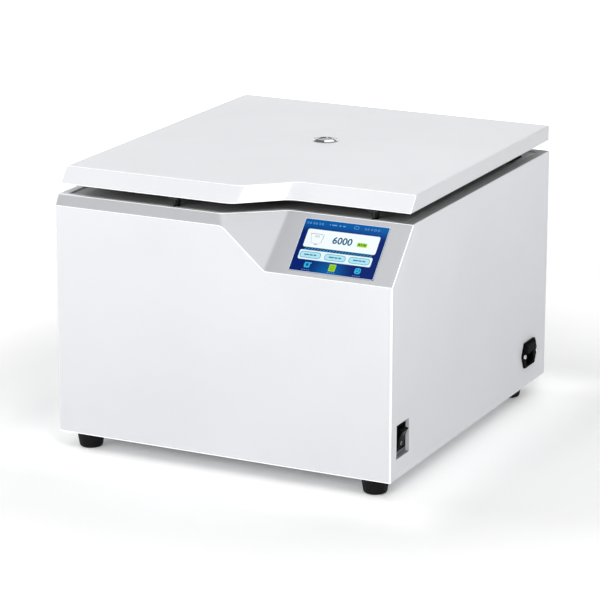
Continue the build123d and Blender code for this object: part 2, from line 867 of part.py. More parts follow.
def lid_cover():
    """Folded sheet lid: flat top, leaning front with the step in it, and an edge folded in below."""
    form = lid_block(0, lid_under, lid_top, lid_rear)
    upper = [e for e in form.edges() if not flat_in(e, 2, lid_under)]
    tangent_seams = [e for e in upper if e.geom_type == GeomType.LINE and is_seam(e, form)]
    form = fillet(ShapeList([e for e in upper if e not in tangent_seams]), lid_edge_radius)
    hem = [e for e in form.edges() if flat_in(e, 2, lid_under) and not flat_in(e, 1, lid_rear)]
    form = fillet(ShapeList(hem), lid_hem_radius)
    wall = lid_sheet / sin(atan2(lid_height, lid_front_lean))
    hollow = lid_block(wall, lid_under + lid_sheet, lid_top - lid_sheet, lid_rear - lid_sheet)
    mouth_rear = lid_rear - lid_rear_land
    mouth = lid_block(lid_flange, lid_under - overrun, lid_under + 2 * lid_sheet, mouth_rear)
    port = disc(port_radius + port_tube_wall + running_fit, lid_under, lid_top + overrun)
    return form - hollow - mouth - Pos(0, chamber_y, 0) * port


def is_seam(edge, form):
    """True if the two faces at an edge run smoothly into each other there."""
    middle = edge.position_at(0.5)
    sides = [f for f in form.faces() if any(e.is_same(edge) for e in f.edges())]
    if len(sides) < 2:
        return True
    return abs(sides[0].normal_at(middle).dot(sides[1].normal_at(middle))) > smooth_cosine


def lid_plate():
    """Dark inner plate under the lid."""
    rear = lid_rear - lid_rear_land + lid_plate_lap
    plate = lid_block(lid_plate_inset, lid_plate_under, lid_under, rear)
    port = disc(port_radius + port_tube_wall + running_fit, 0, lid_top)
    return plate - Pos(0, chamber_y, 0) * port


def port_bezel():
    """Bright raised ring round the viewing port, with its tube down through the lid."""
    tube = port_radius + port_tube_wall
    bezel = turned(
        [
            (port_radius, lid_plate_under),
            (tube, lid_plate_under),
            (tube, lid_top),
            (port_bezel_radius, lid_top),
            (port_bezel_radius, lid_top + port_rim_flat),
            (port_bezel_radius - port_slope_start, lid_top + port_rim_height),
            (tube + port_crown_width, lid_top + port_crown),
            (port_radius, lid_top + port_crown),
        ]
    )
    return Pos(0, chamber_y, 0) * bezel


def port_glass():
    """Clear window in the port."""
    low = lid_top + port_crown - port_glass_thick - port_glass_drop
    return Pos(0, chamber_y, 0) * disc(port_radius - running_fit, low, low + port_glass_thick)


# ------------------------------------------------------------------ hinges
def hinge_places():
    """Positions of the two hinges along the lid's axis."""
    return (-hinge_spacing / 2, hinge_spacing / 2)


def knuckle(x_from, x_to, bore):
    """Rolled barrel of a hinge between two positions on the axis."""
    bar = rod((x_from, hinge_y, hinge_z), (x_to, hinge_y, hinge_z), knuckle_radius)
    return bar - rod((x_from - overrun, hinge_y, hinge_z), (x_to + overrun, hinge_y, hinge_z), bore)


def fixed_leaf(x):
    """Leaf on the rear panel, with the two outer barrels."""
    half = hinge_width / 2
    inner = knuckle_middle / 2 + open_gap
    leaf = slab(x - half, x + half, half_depth, half_depth + hinge_leaf, hinge_leaf_low, hinge_z)
    notch_low = hinge_z - knuckle_radius - open_gap - overrun
    leaf -= slab(x - inner, x + inner, 0, lid_rear, notch_low, hinge_z + overrun)
    bore = rod((x - half, hinge_y, hinge_z), (x + half, hinge_y, hinge_z), hinge_pin_radius)
    for sign in (-1, 1):
        inside, outside = sorted((x + sign * inner, x + sign * half))
        leaf += knuckle(inside, outside, hinge_pin_radius)
    leaf -= bore
    for dx, dz in leaf_screws():
        hole = Pos(x + dx, half_depth, hinge_leaf_low + dz) * Rot(90, 0, 0)
        leaf -= hole * Cylinder(screw_radius + running_fit, 4 * hinge_leaf)
    return leaf


def leaf_screws():
    """Screw positions on a leaf, from the middle of its free edge."""
    side = hinge_width / 2 - leaf_screw_inset
    return [(x, z) for z in leaf_screw_heights for x in (-side, side)]


def moving_leaf(x):
    """Leaf under the lid, with the middle barrel."""
    half = hinge_width / 2
    middle = knuckle_middle / 2
    near = knuckle_radius + open_gap
    top = lid_under
    leaf = slab(x - half, x + half, hinge_y - hinge_leaf_in, hinge_y - near, top - hinge_leaf, top)
    leaf += slab(x - middle, x + middle, hinge_y - near - overrun, hinge_y, top - hinge_leaf, top)
    leaf += slab(x - middle, x + middle, hinge_y - knuckle_root, hinge_y, hinge_z, top)
    leaf += knuckle(x - middle, x + middle, hinge_pin_radius + running_fit)
    start = (x - middle - overrun, hinge_y, hinge_z)
    end = (x + middle + overrun, hinge_y, hinge_z)
    return leaf - rod(start, end, hinge_pin_radius + running_fit)


def hinge_pin(x):
    """Pin through the barrels."""
    half = hinge_width / 2
    return rod((x - half, hinge_y, hinge_z), (x + half, hinge_y, hinge_z), hinge_pin_radius)


def hinge_screws():
    """Screws through the fixed leaves."""
    screw = Rot(-90, 0, 0) * pan_head_screw(length=hinge_leaf + 2 * sheet)
    leaf_face = half_depth + hinge_leaf
    places = [(x + dx, hinge_leaf_low + dz) for x in hinge_places() for dx, dz in leaf_screws()]
    return [Pos(x, leaf_face, z) * screw for x, z in places]


# ------------------------------------------------------------------ gas springs
def spring_line():
    """Top pivot, lower pivot and the unit vector from the top one down, in the side view."""
    top = Vector(0, spring_top_y, spring_top_z)
    foot_end = Vector(0, spring_foot_y, spring_foot_z)
    return top, foot_end, (foot_end - top).normalized()


def spring_eye(centre):
    """Flat eye at the end of a gas spring, round a stud that runs along X."""
    half = spring_eye_width / 2
    start, end = centre - Vector(half, 0, 0), centre + Vector(half, 0, 0)
    return start, end


def spring_tube(side):
    """Cylinder of a gas spring with its eye, hanging from the lid."""
    top, _, down = spring_line()
    top = top + Vector(side * spring_x, 0, 0)
    start, end = spring_eye(top)
    first = top + down * spring_tube_start
    last = top + down * (spring_tube_start + spring_tube_length)
    tube = rod(first, last, spring_tube_radius)
    bore_start = first + down * spring_end_wall
    tube -= rod(bore_start, last - down * spring_end_wall, spring_tube_radius - spring_tube_wall)
    tube -= rod(bore_start, last + down * overrun, spring_rod_radius + running_fit)
    tube += rod(start, end, spring_eye_radius)
    tube += rod(top + down * spring_neck_start, first + down * spring_tube_wall, spring_neck_radius)
    past = Vector(overrun, 0, 0)
    return tube - rod(start - past, end + past, spring_stud_radius + running_fit)


def spring_rod(side):
    """Rod and piston of a gas spring with its lower eye."""
    top, foot_end, down = spring_line()
    shift = Vector(side * spring_x, 0, 0)
    centre = foot_end + shift
    inside = top + shift + down * (spring_tube_start + spring_tube_length - spring_rod_inside)
    neck_end = centre - down * spring_tube_start
    bar = rod(inside, neck_end, spring_rod_radius)
    bar += rod(neck_end - down * overrun, centre - down * spring_neck_start, spring_neck_radius)
    piston = spring_tube_radius - spring_tube_wall - 2 * running_fit
    bar += rod(inside, inside + down * spring_piston_length, piston)
    start, end = spring_eye(centre)
    bar += rod(start, end, spring_eye_radius)
    past = Vector(overrun, 0, 0)
    return bar - rod(start - past, end + past, spring_stud_radius + running_fit)


def spring_top_bracket(side):
    """Plate and tab under the lid with the stud that carries a gas spring."""
    top, _, _ = spring_line()
    half = spring_foot_length / 2
    tab_in = spring_x + spring_eye_width / 2 + open_gap
    tab_out = tab_in + spring_tab
    roof = lid_plate_under
    plate = (top.Y - half, top.Y + half, roof - spring_foot_plate, roof)
    bracket = slab(spring_x - spring_eye_width, tab_out, *plate)
    tab = slab(tab_in, tab_out, top.Y - spring_eye_radius, top.Y + spring_eye_radius, top.Z, roof)
    tab += rod((tab_in, top.Y, top.Z), (tab_out, top.Y, top.Z), spring_eye_radius)
    stud_end = spring_x - spring_eye_width / 2 - open_gap
    clip_end = (stud_end - spring_clip, top.Y, top.Z)
    stud = rod(clip_end, (tab_in, top.Y, top.Z), spring_stud_radius)
    clip = rod(clip_end, (stud_end, top.Y, top.Z), spring_stud_radius + spring_clip_rise)
    bracket += tab + stud + clip
    return bracket if side > 0 else mirror(bracket, about=Plane.YZ)


def spring_foot_bracket(side):
    """Angle on the base plate with the boss that faces a gas spring's lower eye."""
    _, foot_end, _ = spring_line()
    half = spring_foot_length / 2
    tab_in = spring_x + spring_eye_width / 2 + open_gap
    tab_out = tab_in + spring_tab
    y = foot_end.Y
    base_out = tab_out + spring_base_out
    bracket = slab(tab_in, base_out, y - half, y + half, base_top, base_top + spring_foot_plate)
    bracket += slab(tab_in, tab_out, y - half, y + half, base_top, foot_end.Z)
    bracket += rod((tab_in, y, foot_end.Z), (tab_out, y, foot_end.Z), half)
    boss_end = (tab_out + spring_boss, y, foot_end.Z)
    bracket += rod((tab_out, y, foot_end.Z), boss_end, spring_boss_radius)
    return bracket if side > 0 else mirror(bracket, about=Plane.YZ)


# ------------------------------------------------------------------ lid locks
def striker(x, y):
    """Steel loop on a foot plate under the lid."""
    low = lid_plate_under - striker_reach
    high = lid_plate_under - hinge_leaf
    gap = striker_half_gap
    corners = ((x, y - gap, high), (x, y - gap, low), (x, y + gap, low), (x, y + gap, high))
    path = FilletPolyline(*corners, radius=striker_bend)
    section = Plane(origin=(x, y - gap, high), z_dir=(0, 0, -1)) * Circle(striker_rod_radius)
    loop = sweep(section, path=path)
    half_x, half_y = striker_foot_width / 2, striker_foot_length / 2
    plate = slab(x - half_x, x + half_x, y - half_y, y + half_y, high, lid_plate_under)
    return loop + plate


def lock_frame(x, y):
    """Open-topped housing under the deck that holds a hook and its motor."""
    low = deck_under - lock_height
    box = slab(x - lock_left, x + lock_right, y - lock_front, y + lock_rear, low, deck_under)
    well = slab(
        x - lock_left + lock_wall,
        x + lock_right - lock_wall,
        y - lock_front + lock_wall,
        y + lock_rear - lock_wall,
        low + lock_wall,
        deck_top,
    )
    across = x + hook_pivot_side
    front, rear = y - lock_front - overrun, y + lock_rear + overrun
    bore_z = hook_axis_height()
    return box - well - rod((across, front, bore_z), (across, rear, bore_z), hook_pin_radius)


def hook_axis_height():
    """Height of a hook's pivot, below the striker's crossbar."""
    return lid_plate_under - striker_reach - hook_pivot_drop


def lock_hook(x, y):
    """Hook whose nose lies over the striker's crossbar, turning on its pin."""
    bar_z = lid_plate_under - striker_reach
    pivot = (hook_pivot_side, hook_axis_height())
    under = bar_z + striker_rod_radius + open_gap
    over = under + hook_nose
    arm = make_face(
        Polyline(
            (-hook_reach, under),
            (-hook_reach, over - hook_chamfer),
            (-hook_reach + hook_chamfer, over),
            (hook_pivot_side, over),
            (hook_pivot_side + hook_boss, over - hook_nose),
            (hook_pivot_side + hook_boss, pivot[1]),
            (hook_pivot_side - hook_boss, pivot[1]),
            (hook_pivot_side - hook_boss, bar_z - hook_heel),
            (striker_rod_radius + hook_throat, under),
            close=True,
        )
    )
    bore = Circle(hook_pin_radius + running_fit)
    outline = arm + Pos(*pivot) * Circle(hook_boss) - Pos(*pivot) * bore
    return Pos(x, y + hook_thick / 2, 0) * extrude(Plane.XZ * outline, amount=hook_thick)


def hook_pin(x, y):
    """Pin that a hook turns on, across its housing."""
    across = x + hook_pivot_side
    z = hook_axis_height()
    return rod((across, y - lock_front, z), (across, y + lock_rear, z), hook_pin_radius)


def lock_motor(x, y):
    """Small gear motor on the back of a lock housing."""
    side = x + lock_right - lock_wall - lock_motor_radius
    back = y + lock_rear + lock_motor_radius
    low = deck_under - lock_height
    can_low = low + lock_motor_lift
    can = Pos(side, back, 0) * disc(lock_motor_radius, can_low, can_low + lock_motor_length)
    half = lock_gear_width / 2
    gear_low = low + lock_gear_lift
    return can + slab(side - half, side + half, y + lock_rear, back, gear_low, gear_low + lock_gear_height)


def for_locks(build):
    """One piece at each of the two locks."""
    return [build(x, y) for x, y in striker_places()]


# ------------------------------------------------------------------ drive
def motor_body():
    """Motor hung under its plate, with a bore for the shaft and a seat for the lower bearing."""
    top = motor_plate_under
    low = top - motor_height
    body = disc(motor_radius, low, top)
    body = fillet(round_edges(body)[0], motor_corner)
    for share in motor_grooves:
        groove = low + motor_height * share
        inner = motor_radius - motor_groove_depth
        body -= ring(motor_radius + overrun, inner, groove, groove + motor_groove_width)
    body -= disc(shaft_radius + shaft_bore_play, lower_bearing_z, top + overrun)
    body -= disc(bearing_radius, lower_bearing_z, lower_bearing_z + bearing_height)
    return Pos(0, chamber_y, 0) * body


def damper_places():
    """Plan positions of the three rubber mounts, round the chamber's axis."""
    return [Pos(0, chamber_y, 0) * place for place in PolarLocations(damper_reach, 3, start_angle=30)]


def motor_plate():
    """Plate that carries the motor, with three lobes over the mounts and the drive hub on top."""
    lobes = [place * Circle(damper_lobe) for place in PolarLocations(damper_reach, 3, start_angle=30)]
    outline = make_hull((Sketch() + lobes + Circle(motor_plate_radius)).edges())
    plate = Pos(0, 0, motor_plate_under) * extrude(outline, amount=motor_plate_thick)
    hub = disc(hub_radius, motor_plate_top, hub_top)
    plate += fillet(round_edges(hub)[-1], hub_edge)
    plate -= disc(shaft_radius + shaft_bore_play, 0, casing_top)
    plate -= disc(bearing_radius, upper_bearing_z, upper_bearing_z + bearing_height)
    return Pos(0, chamber_y, 0) * plate


def bearing(z_from):
    """Ball bearing as a closed ring with shields let into both faces."""
    race = ring(bearing_radius, shaft_radius + running_fit, z_from, z_from + bearing_height)
    middle = (bearing_radius + shaft_radius) / 2
    for face in (z_from, z_from + bearing_height):
        race -= ring(middle + shield_half, middle - shield_half, face - shield_depth, face + shield_depth)
    return Pos(0, chamber_y, 0) * race


def drive_shaft():
    """Shaft from the motor up to the rotor, with the flange that the rotor seats on."""
    end = rotor_seat + shaft_flange_thick
    shaft = disc(shaft_radius, lower_bearing_z, rotor_seat)
    shaft += disc(shaft_flange_radius, rotor_seat, end)
    shaft += disc(shaft_end_radius, end, end + yoke_hub_height + nut_thread_depth)
    shaft = chamfer(round_edges(shaft)[-1], shaft_chamfer)
    return Pos(0, chamber_y, 0) * shaft


def damper_post():
    """Steel post under a rubber mount."""
    top = motor_plate_under - damper_height
    post = disc(damper_post_radius, base_top, top)
    post += disc(damper_radius, base_top, base_top + post_foot)
    return post + disc(damper_radius, top - post_cap, top)


def damper():
    """Waisted rubber mount between a post and the motor plate."""
    high = motor_plate_under
    low = high - damper_height
    arc_low = (damper_radius, low + damper_land)
    arc_high = (damper_radius, high - damper_land)
    waist = (damper_radius - damper_waist, (low + high) / 2)
    outline = make_face(
        Polyline((0, low), (damper_radius, low), arc_low)
        + ThreePointArc(arc_low, waist, arc_high)
        + Polyline(arc_high, (damper_radius, high), (0, high))
        + Line((0, high), (0, low))
    )
    return revolve(Plane.XZ * outline, Axis.Z)


def at_dampers(piece):
    """Copies of a piece under the three lobes of the motor plate."""
    return [place * piece for place in damper_places()]


def shaft_boot():
    """Rubber boot that closes the gap between the drive hub and the bowl's collar."""
    collar_top = bowl_floor + bowl_collar
    cone_end = bowl_floor + boot_lift
    sleeve = hub_radius + boot_wall
    low = hub_top - boot_reach
    rim = bowl_hole_radius + bowl_sheet + boot_lip
    inside = bowl_hole_radius - 2 * boot_wall
    boot = turned(
        [
            (hub_radius + running_fit, low),
            (sleeve, low),
            (sleeve, hub_top - boot_taper),
            (bowl_hole_radius - contact_gap, cone_end),
            (bowl_hole_radius - contact_gap, collar_top),
            (rim, collar_top),
            (rim, collar_top + boot_wall),
            (inside, collar_top + boot_wall),
            (inside, cone_end),
            (hub_radius + running_fit, hub_top - boot_hub_edge),
        ]
    )
    return Pos(0, chamber_y, 0) * boot


# ------------------------------------------------------------------ rotor and carriers
def rotor_yoke():
    """Rotor: a hub, a beam across it and two cheeks that hold the trunnions of both carriers."""
    cheek_outer = cheek_inner + cheek_thick
    z = trunnion_z
    hub = disc(yoke_hub_radius, z - yoke_hub_height / 2, z + yoke_hub_height / 2)
    beam = Box(yoke_beam, 2 * cheek_outer, yoke_beam_height)
    beam = fillet(beam.edges().filter_by(Axis.Y), yoke_edge)
    yoke = hub + Pos(0, 0, z) * beam
    cheek = Plane.XZ * SlotCenterToCenter(2 * trunnion_reach, cheek_height)
    cheek = extrude(cheek, amount=cheek_thick)
    pocket = Plane.XZ * SlotOverall(trunnion_reach - yoke_beam / 2 - yoke_web, cheek_pocket_height)
    pocket = extrude(pocket, amount=cheek_thick)
    middle = (trunnion_reach + yoke_beam / 2 - yoke_web) / 2
    cheek -= [Pos(sign * middle, 0, 0) * pocket for sign in (-1, 1)]
    yoke += Pos(0, -cheek_inner, z) * cheek
    yoke += Pos(0, cheek_outer, z) * cheek
    for sign in (-1, 1):
        dish = Pos(0, sign * (cheek_inner + yoke_hub_radius) / 2, z + yoke_beam_height / 2)
        yoke -= dish * Cylinder(yoke_pocket / 2, yoke_beam_height)
    yoke -= disc(shaft_end_radius + running_fit, 0, casing_top)
    for x in (-trunnion_reach, trunnion_reach):
        yoke -= rod((x, -casing_top, z), (x, casing_top, z), trunnion_radius)
    return Pos(0, chamber_y, 0) * yoke


def trunnion_pins():
    """Four pins in the cheeks, pointing in at the carriers."""
    outer = cheek_inner + cheek_thick
    inner = cheek_inner - cheek_gap - carrier_wall - carrier_boss_thick - trunnion_end
    pins = []
    for x in (-trunnion_reach, trunnion_reach):
        for sign in (-1, 1):
            start = (x, chamber_y + sign * outer, trunnion_z)
            pins.append(rod(start, (x, chamber_y + sign * inner, trunnion_z), trunnion_radius))
    return pins


def rotor_nut():
    """Domed hand nut over the end of the shaft."""
    low = trunnion_z + yoke_hub_height / 2
    nut = disc(nut_radius, low, low + nut_height)
    nut = fillet(round_edges(nut)[-1], nut_edge)
    grip = Cylinder(nut_grip_radius, nut_height * 2)
    for place in PolarLocations(nut_radius + nut_grip_out, nut_grips):
        nut -= Pos(0, 0, low + nut_height) * place * grip
    nut -= disc(shaft_end_radius + running_fit, 0, low + nut_thread_depth + overrun)
    return Pos(0, chamber_y, 0) * nut


def plate_carrier(side):
    """Tray for a microplate, hung by an ear at each end on the rotor's trunnions."""
    inner_x = plate_width / 2 + plate_play
    inner_y = plate_length / 2 + plate_play
    outer_x, outer_y = inner_x + carrier_wall, inner_y + carrier_wall
    low = trunnion_z - carrier_drop
    tray = slab(-outer_x, outer_x, -outer_y, outer_y, low, low + carrier_side)
    tray = fillet(tray.edges().filter_by(Axis.Z), carrier_corner)
    tray -= slab(-inner_x, inner_x, -inner_y, inner_y, low + carrier_floor, casing_top)
    bottom = extrude(SlotOverall(carrier_slot_length, carrier_slot_width), amount=2 * carrier_floor)
    for row in (-1, 0, 1):
        tray -= Pos(0, row * carrier_slot_pitch, low - overrun) * bottom
    ear_top = trunnion_z + carrier_ear_boss
    for sign in (-1, 1):
        ear = make_face(
            Polyline(
                (-carrier_ear_width, low),
                (carrier_ear_width, low),
                (carrier_ear_width, low + carrier_side),
                (carrier_ear_boss, trunnion_z),
            )
            + ThreePointArc((carrier_ear_boss, trunnion_z), (0, ear_top), (-carrier_ear_boss, trunnion_z))
            + Polyline(
                (-carrier_ear_boss, trunnion_z),
                (-carrier_ear_width, low + carrier_side),
                (-carrier_ear_width, low),
            )
        )
        wall_from = inner_y if sign > 0 else -outer_y
        tray += Pos(0, wall_from + carrier_wall, 0) * extrude(Plane.XZ * ear, amount=carrier_wall)
        boss_from, boss_to = inner_y - carrier_boss_thick, inner_y
        start = (0, sign * boss_from, trunnion_z)
        tray += rod(start, (0, sign * boss_to, trunnion_z), carrier_ear_boss)
    past = outer_y + overrun
    tray -= rod((0, -past, trunnion_z), (0, past, trunnion_z), trunnion_radius + running_fit)
    notch = Box(6 * carrier_wall, carrier_notch_length, 2 * carrier_notch_depth)
    for x in (-outer_x, outer_x):
        tray -= Pos(x, 0, low + carrier_side) * notch
    return Pos(side * trunnion_reach, chamber_y, 0) * tray


# ------------------------------------------------------------------ front controls
def touch_screen():
    """Glass front of the screen, let into the control panel."""
    glass = RectangleRounded(screen_width, screen_height, screen_corner)
    place = panel_plane(screen_centre_x, screen_centre_up, -screen_proud)
    return place * extrude(glass, amount=-screen_thick)


def display_module():
    """Tray behind the control panel that holds the screen's glass."""
    place = panel_plane(screen_centre_x, screen_centre_up, sheet)
    size = (screen_width + 2 * module_edge, screen_height + 2 * module_edge, module_depth)
    module = place * Box(*size, align=under_roof)
    sunk = screen_thick - screen_proud - sheet
    return module - place * Box(screen_width + 2 * slip_fit, screen_height + 2 * slip_fit, 2 * sunk)


def control_board():
    """Circuit board on spacers behind the screen."""
    back = sheet + module_depth
    place = panel_plane(screen_centre_x, screen_centre_up, back)
    low = -board_standoff - board_thick
    board = Pos(0, 0, low) * Box(control_board_width, control_board_height, board_thick, align=on_floor)
    span_x = control_board_width - 2 * control_spacer_inset
    span_y = control_board_height - 2 * control_spacer_inset
    for spot in GridLocations(span_x, span_y, 2, 2):
        board += Pos(0, 0, -board_standoff / 2) * spot * Cylinder(control_spacer_radius, board_standoff)
    for right, up, wide, tall, thick in control_chips:
        board += Pos(right, up, low) * Box(wide, tall, thick, align=under_roof)
    return place * board


# ------------------------------------------------------------------ power switch
def switch_body():
    """Frame and body of the rocker switch, snapped into the recess."""
    place = side_plane(recess_y, recess_z + switch_lift, recess_depth)
    frame = RectangleRounded(switch_width, switch_height, switch_corner)
    body = extrude(frame, amount=switch_bezel)
    wide, tall = switch_width - 2 * switch_body_inset, switch_height - 2 * switch_body_inset
    body += Box(wide, tall, switch_body_depth, align=under_roof)
    swing = rocker_half * sin(radians(rocker_tilt))
    depth = rocker_depth + swing + rocker_axis_depth + rocker_floor_gap
    well = Box(rocker_width + 2 * rocker_side_gap, 2 * rocker_well, 2 * depth)
    return place * (body - well - rocker_pivot(rocker_pin_radius + running_fit))


def rocker_pivot(radius):
    """Round bar on the rocker's axis, as long as its two pivots reach."""
    reach = rocker_width / 2 + rocker_side_gap + rocker_pin_end
    return rod((-reach, 0, -rocker_axis_depth), (reach, 0, -rocker_axis_depth), radius)


def switch_rocker():
    """Rocker with two wings, lying with its lower wing pressed in."""
    rise = rocker_half * tan(radians(rocker_tilt))
    outline = make_face(
        Polyline(
            (0, rocker_crown),
            (rocker_half, rocker_crown + rise),
            (rocker_half, -rocker_axis_depth - rocker_edge),
            (rocker_root, -rocker_axis_depth - rocker_depth),
            (-rocker_root, -rocker_axis_depth - rocker_depth),
            (-rocker_half, -rocker_axis_depth - rocker_edge),
            (-rocker_half, rocker_crown + rise),
            close=True,
        )
    )
    rocker = extrude(Plane.YZ * outline, amount=rocker_width / 2, both=True)
    rocker += rocker_pivot(rocker_pin_radius)
    axis_point = Pos(0, 0, -rocker_axis_depth)
    rocker = axis_point * Rot(rocker_tilt, 0, 0) * axis_point.inverse() * rocker
    return side_plane(recess_y, recess_z + switch_lift, recess_depth) * rocker


# ------------------------------------------------------------------ mains inlet
def inlet_body():
    """Mains inlet: six-sided flange, socket below and a well for the fuse drawer above."""
    w, h, t = inlet_half_width, inlet_half_height, inlet_top_half
    outline = make_face(Polyline((w, 0), (t, h), (-t, h), (-w, 0), (-t, -h), (t, -h), close=True))
    outline = fillet(outline.vertices(), inlet_corner)
    body = extrude(outline, amount=inlet_flange)
    block = (2 * inlet_body_half_width, 2 * inlet_body_half_height, inlet_body_depth)
    body += Box(*block, align=under_roof)

    side = socket_half_width
    low, high = socket_low, socket_low + socket_height
    cut = socket_chamfer
    foot = ((-side, low + cut), (-side + cut, low), (side - cut, low), (side, low + cut))
    mouth = make_face(Polyline(*foot, (side, high), (-side, high), close=True))
    body -= Pos(0, 0, inlet_flange - socket_depth) * extrude(mouth, amount=socket_depth + overrun)
    well = (2 * (drawer_half_width + drawer_fit), drawer_height + 2 * drawer_fit, drawer_depth + overrun)
    middle = drawer_low + drawer_height / 2
    body -= Pos(0, middle, inlet_flange + overrun) * Box(*well, align=under_roof)
    screw_hole = Cylinder(screw_radius + running_fit, 4 * inlet_flange)
    for x in (-inlet_screw_spacing / 2, inlet_screw_spacing / 2):
        body -= Pos(x, 0, 0) * screw_hole
    return side_plane(inlet_y, inlet_z) * body


def inlet_pins():
    """Three flat pins in the socket."""
    floor = inlet_flange - socket_depth
    middle = socket_low + socket_height / 2
    pins = []
    places = ((-pin_spacing, middle - pin_low), (pin_spacing, middle - pin_low), (0, middle + pin_high))
    for across, up in places:
        pin = Pos(across, up, floor) * Box(pin_thick, pin_width, pin_length, align=on_floor)
        pins.append(side_plane(inlet_y, inlet_z) * pin)
    return pins


def fuse_drawer():
    """Drawer for the fuses with a finger notch in its front."""
    middle = drawer_low + drawer_height / 2
    low = inlet_flange - drawer_depth + drawer_fit
    high = inlet_flange + drawer_proud
    drawer = Pos(0, middle, low) * Box(2 * drawer_half_width, drawer_height, high - low, align=on_floor)
    front = drawer.edges().group_by(Axis.Z)[-1]
    drawer = chamfer(front, drawer_chamfer)
    for x in (-fuse_spacing / 2, fuse_spacing / 2):
        drawer -= Pos(x, middle, low - overrun) * Cylinder(fuse_radius, drawer_depth, align=on_floor)
    notch = Pos(0, drawer_low, high) * Box(drawer_notch_length, drawer_notch, drawer_notch)
    return side_plane(inlet_y, inlet_z) * (drawer - notch)


def inlet_screws():
    """The two screws of the inlet's flange."""
    screw = pan_head_screw(head=inlet_screw_head)
    place = side_plane(inlet_y, inlet_z, -inlet_flange)
    return [place * Pos(side * inlet_screw_spacing / 2, 0) * screw for side in (-1, 1)]


# ------------------------------------------------------------------ fan
def fan_frame():
    """Square frame of the cooling fan with the struts that carry its hub."""
    frame = Box(fan_size, fan_size, fan_depth, align=on_floor)
    frame = fillet(frame.edges().filter_by(Axis.Z), fan_corner)
    frame -= disc(fan_bore_radius, -overrun, fan_depth + overrun)
    base = disc(fan_hub_radius, 0, fan_base)
    strut = slab(0, fan_bore_radius + overrun, -fan_strut / 2, fan_strut / 2, 0, fan_base)
    for place in PolarLocations(0, 4, start_angle=45):
        base += place * strut
    base += disc(fan_axle_radius, 0, fan_depth - fan_axle_short)
    return fan_place() * (frame + base)


def fan_place():
    """Frame of the fan: z from the inside of the machine out through the rear panel."""
    return Plane(origin=(fan_x, fan_y - fan_depth, fan_z), x_dir=(-1, 0, 0), z_dir=(0, 1, 0))


def fan_blades_ring():
    """Hub and blades of the fan."""
    low, high = fan_base + open_gap, fan_depth - fan_front_gap
    reach = fan_bore_radius - fan_tip_gap
    chord = (high - low - fan_blade_short) / cos(radians(fan_pitch))
    blank = Box(fan_bore_radius, fan_blade_thick, chord, align=(Align.MIN, Align.CENTER, Align.CENTER))
    blade = Pos(0, 0, (low + high) / 2) * Rot(fan_pitch, 0, 0) * blank
    wheel = disc(fan_hub_radius - fan_hub_inset, low, high)
    for place in PolarLocations(0, fan_blades):
        wheel += place * blade
    wheel &= disc(reach, low, high)
    wheel -= disc(fan_axle_radius + running_fit, 0, fan_depth - fan_axle_short + open_gap)
    return fan_place() * wheel


# ------------------------------------------------------------------ electronics
def drive_board():
    """Motor drive board on spacers in the front bay."""
    under = base_top + drive_standoff
    top = under + board_thick
    board = Pos(0, 0, under) * Box(drive_board_width, drive_board_depth, board_thick, align=on_floor)
    span_x = drive_board_width - 2 * drive_spacer_inset
    span_y = drive_board_depth - 2 * drive_spacer_inset
    for spot in GridLocations(span_x, span_y, 2, 2):
        board += spot * disc(drive_spacer_radius, base_top, under)
    for x, y in capacitor_places:
        board += Pos(x, y, 0) * disc(capacitor_radius, top, top + capacitor_height)
    for x_from, x_to, y_from, y_to, height in drive_blocks:
        board += slab(x_from, x_to, y_from, y_to, top, top + height)
    return Pos(drive_board_x, drive_board_y, 0) * board


def heatsink():
    """Finned heatsink on the drive board."""
    z = base_top + drive_standoff + board_thick
    half = heatsink_length / 2
    sink = Pos(0, 0, z) * Box(heatsink_length, heatsink_depth, heatsink_base, align=on_floor)
    pitch = (heatsink_depth - fin_thick) / (heatsink_fins - 1)
    for row in range(heatsink_fins):
        y = -heatsink_depth / 2 + row * pitch
        sink += slab(-half, half, y, y + fin_thick, z, z + heatsink_height)
    return Pos(drive_board_x + heatsink_shift, drive_board_y, 0) * sink


def mains_filter():
    """Metal-cased mains filter behind the inlet, beside the nut of the rear foot."""
    foot_x, _ = base_places()[-1]
    x_out = foot_x - (foot_screw_radius + nut_wall) / cos(radians(30)) - filter_gap
    y_from = inlet_y - filter_length / 2
    plan = (x_out - filter_width, x_out, y_from, y_from + filter_length)
    box = slab(*plan, base_top, base_top + filter_height)
    return fillet(box.edges().filter_by(Axis.Z), filter_corner)


def imbalance_switch():
    """Small switch on an angle beside the motor plate that stops the drive if the plate swings wide."""
    reach = motor_plate_edge() + sensor_gap
    y = chamber_y - reach
    back = y - sensor_thick
    top = motor_plate_top + sensor_over
    half = sensor_width / 2
    angle = slab(-half, half, back - bracket_sheet, back, base_top, top)
    angle += slab(-half, half, back - bracket_foot, back, base_top, base_top + bracket_sheet)
    return angle + slab(-half, half, back, y, top - sensor_height, top)


def motor_plate_edge():
    """Distance from the chamber's axis to the front edge of the motor plate."""
    return damper_reach + damper_lobe


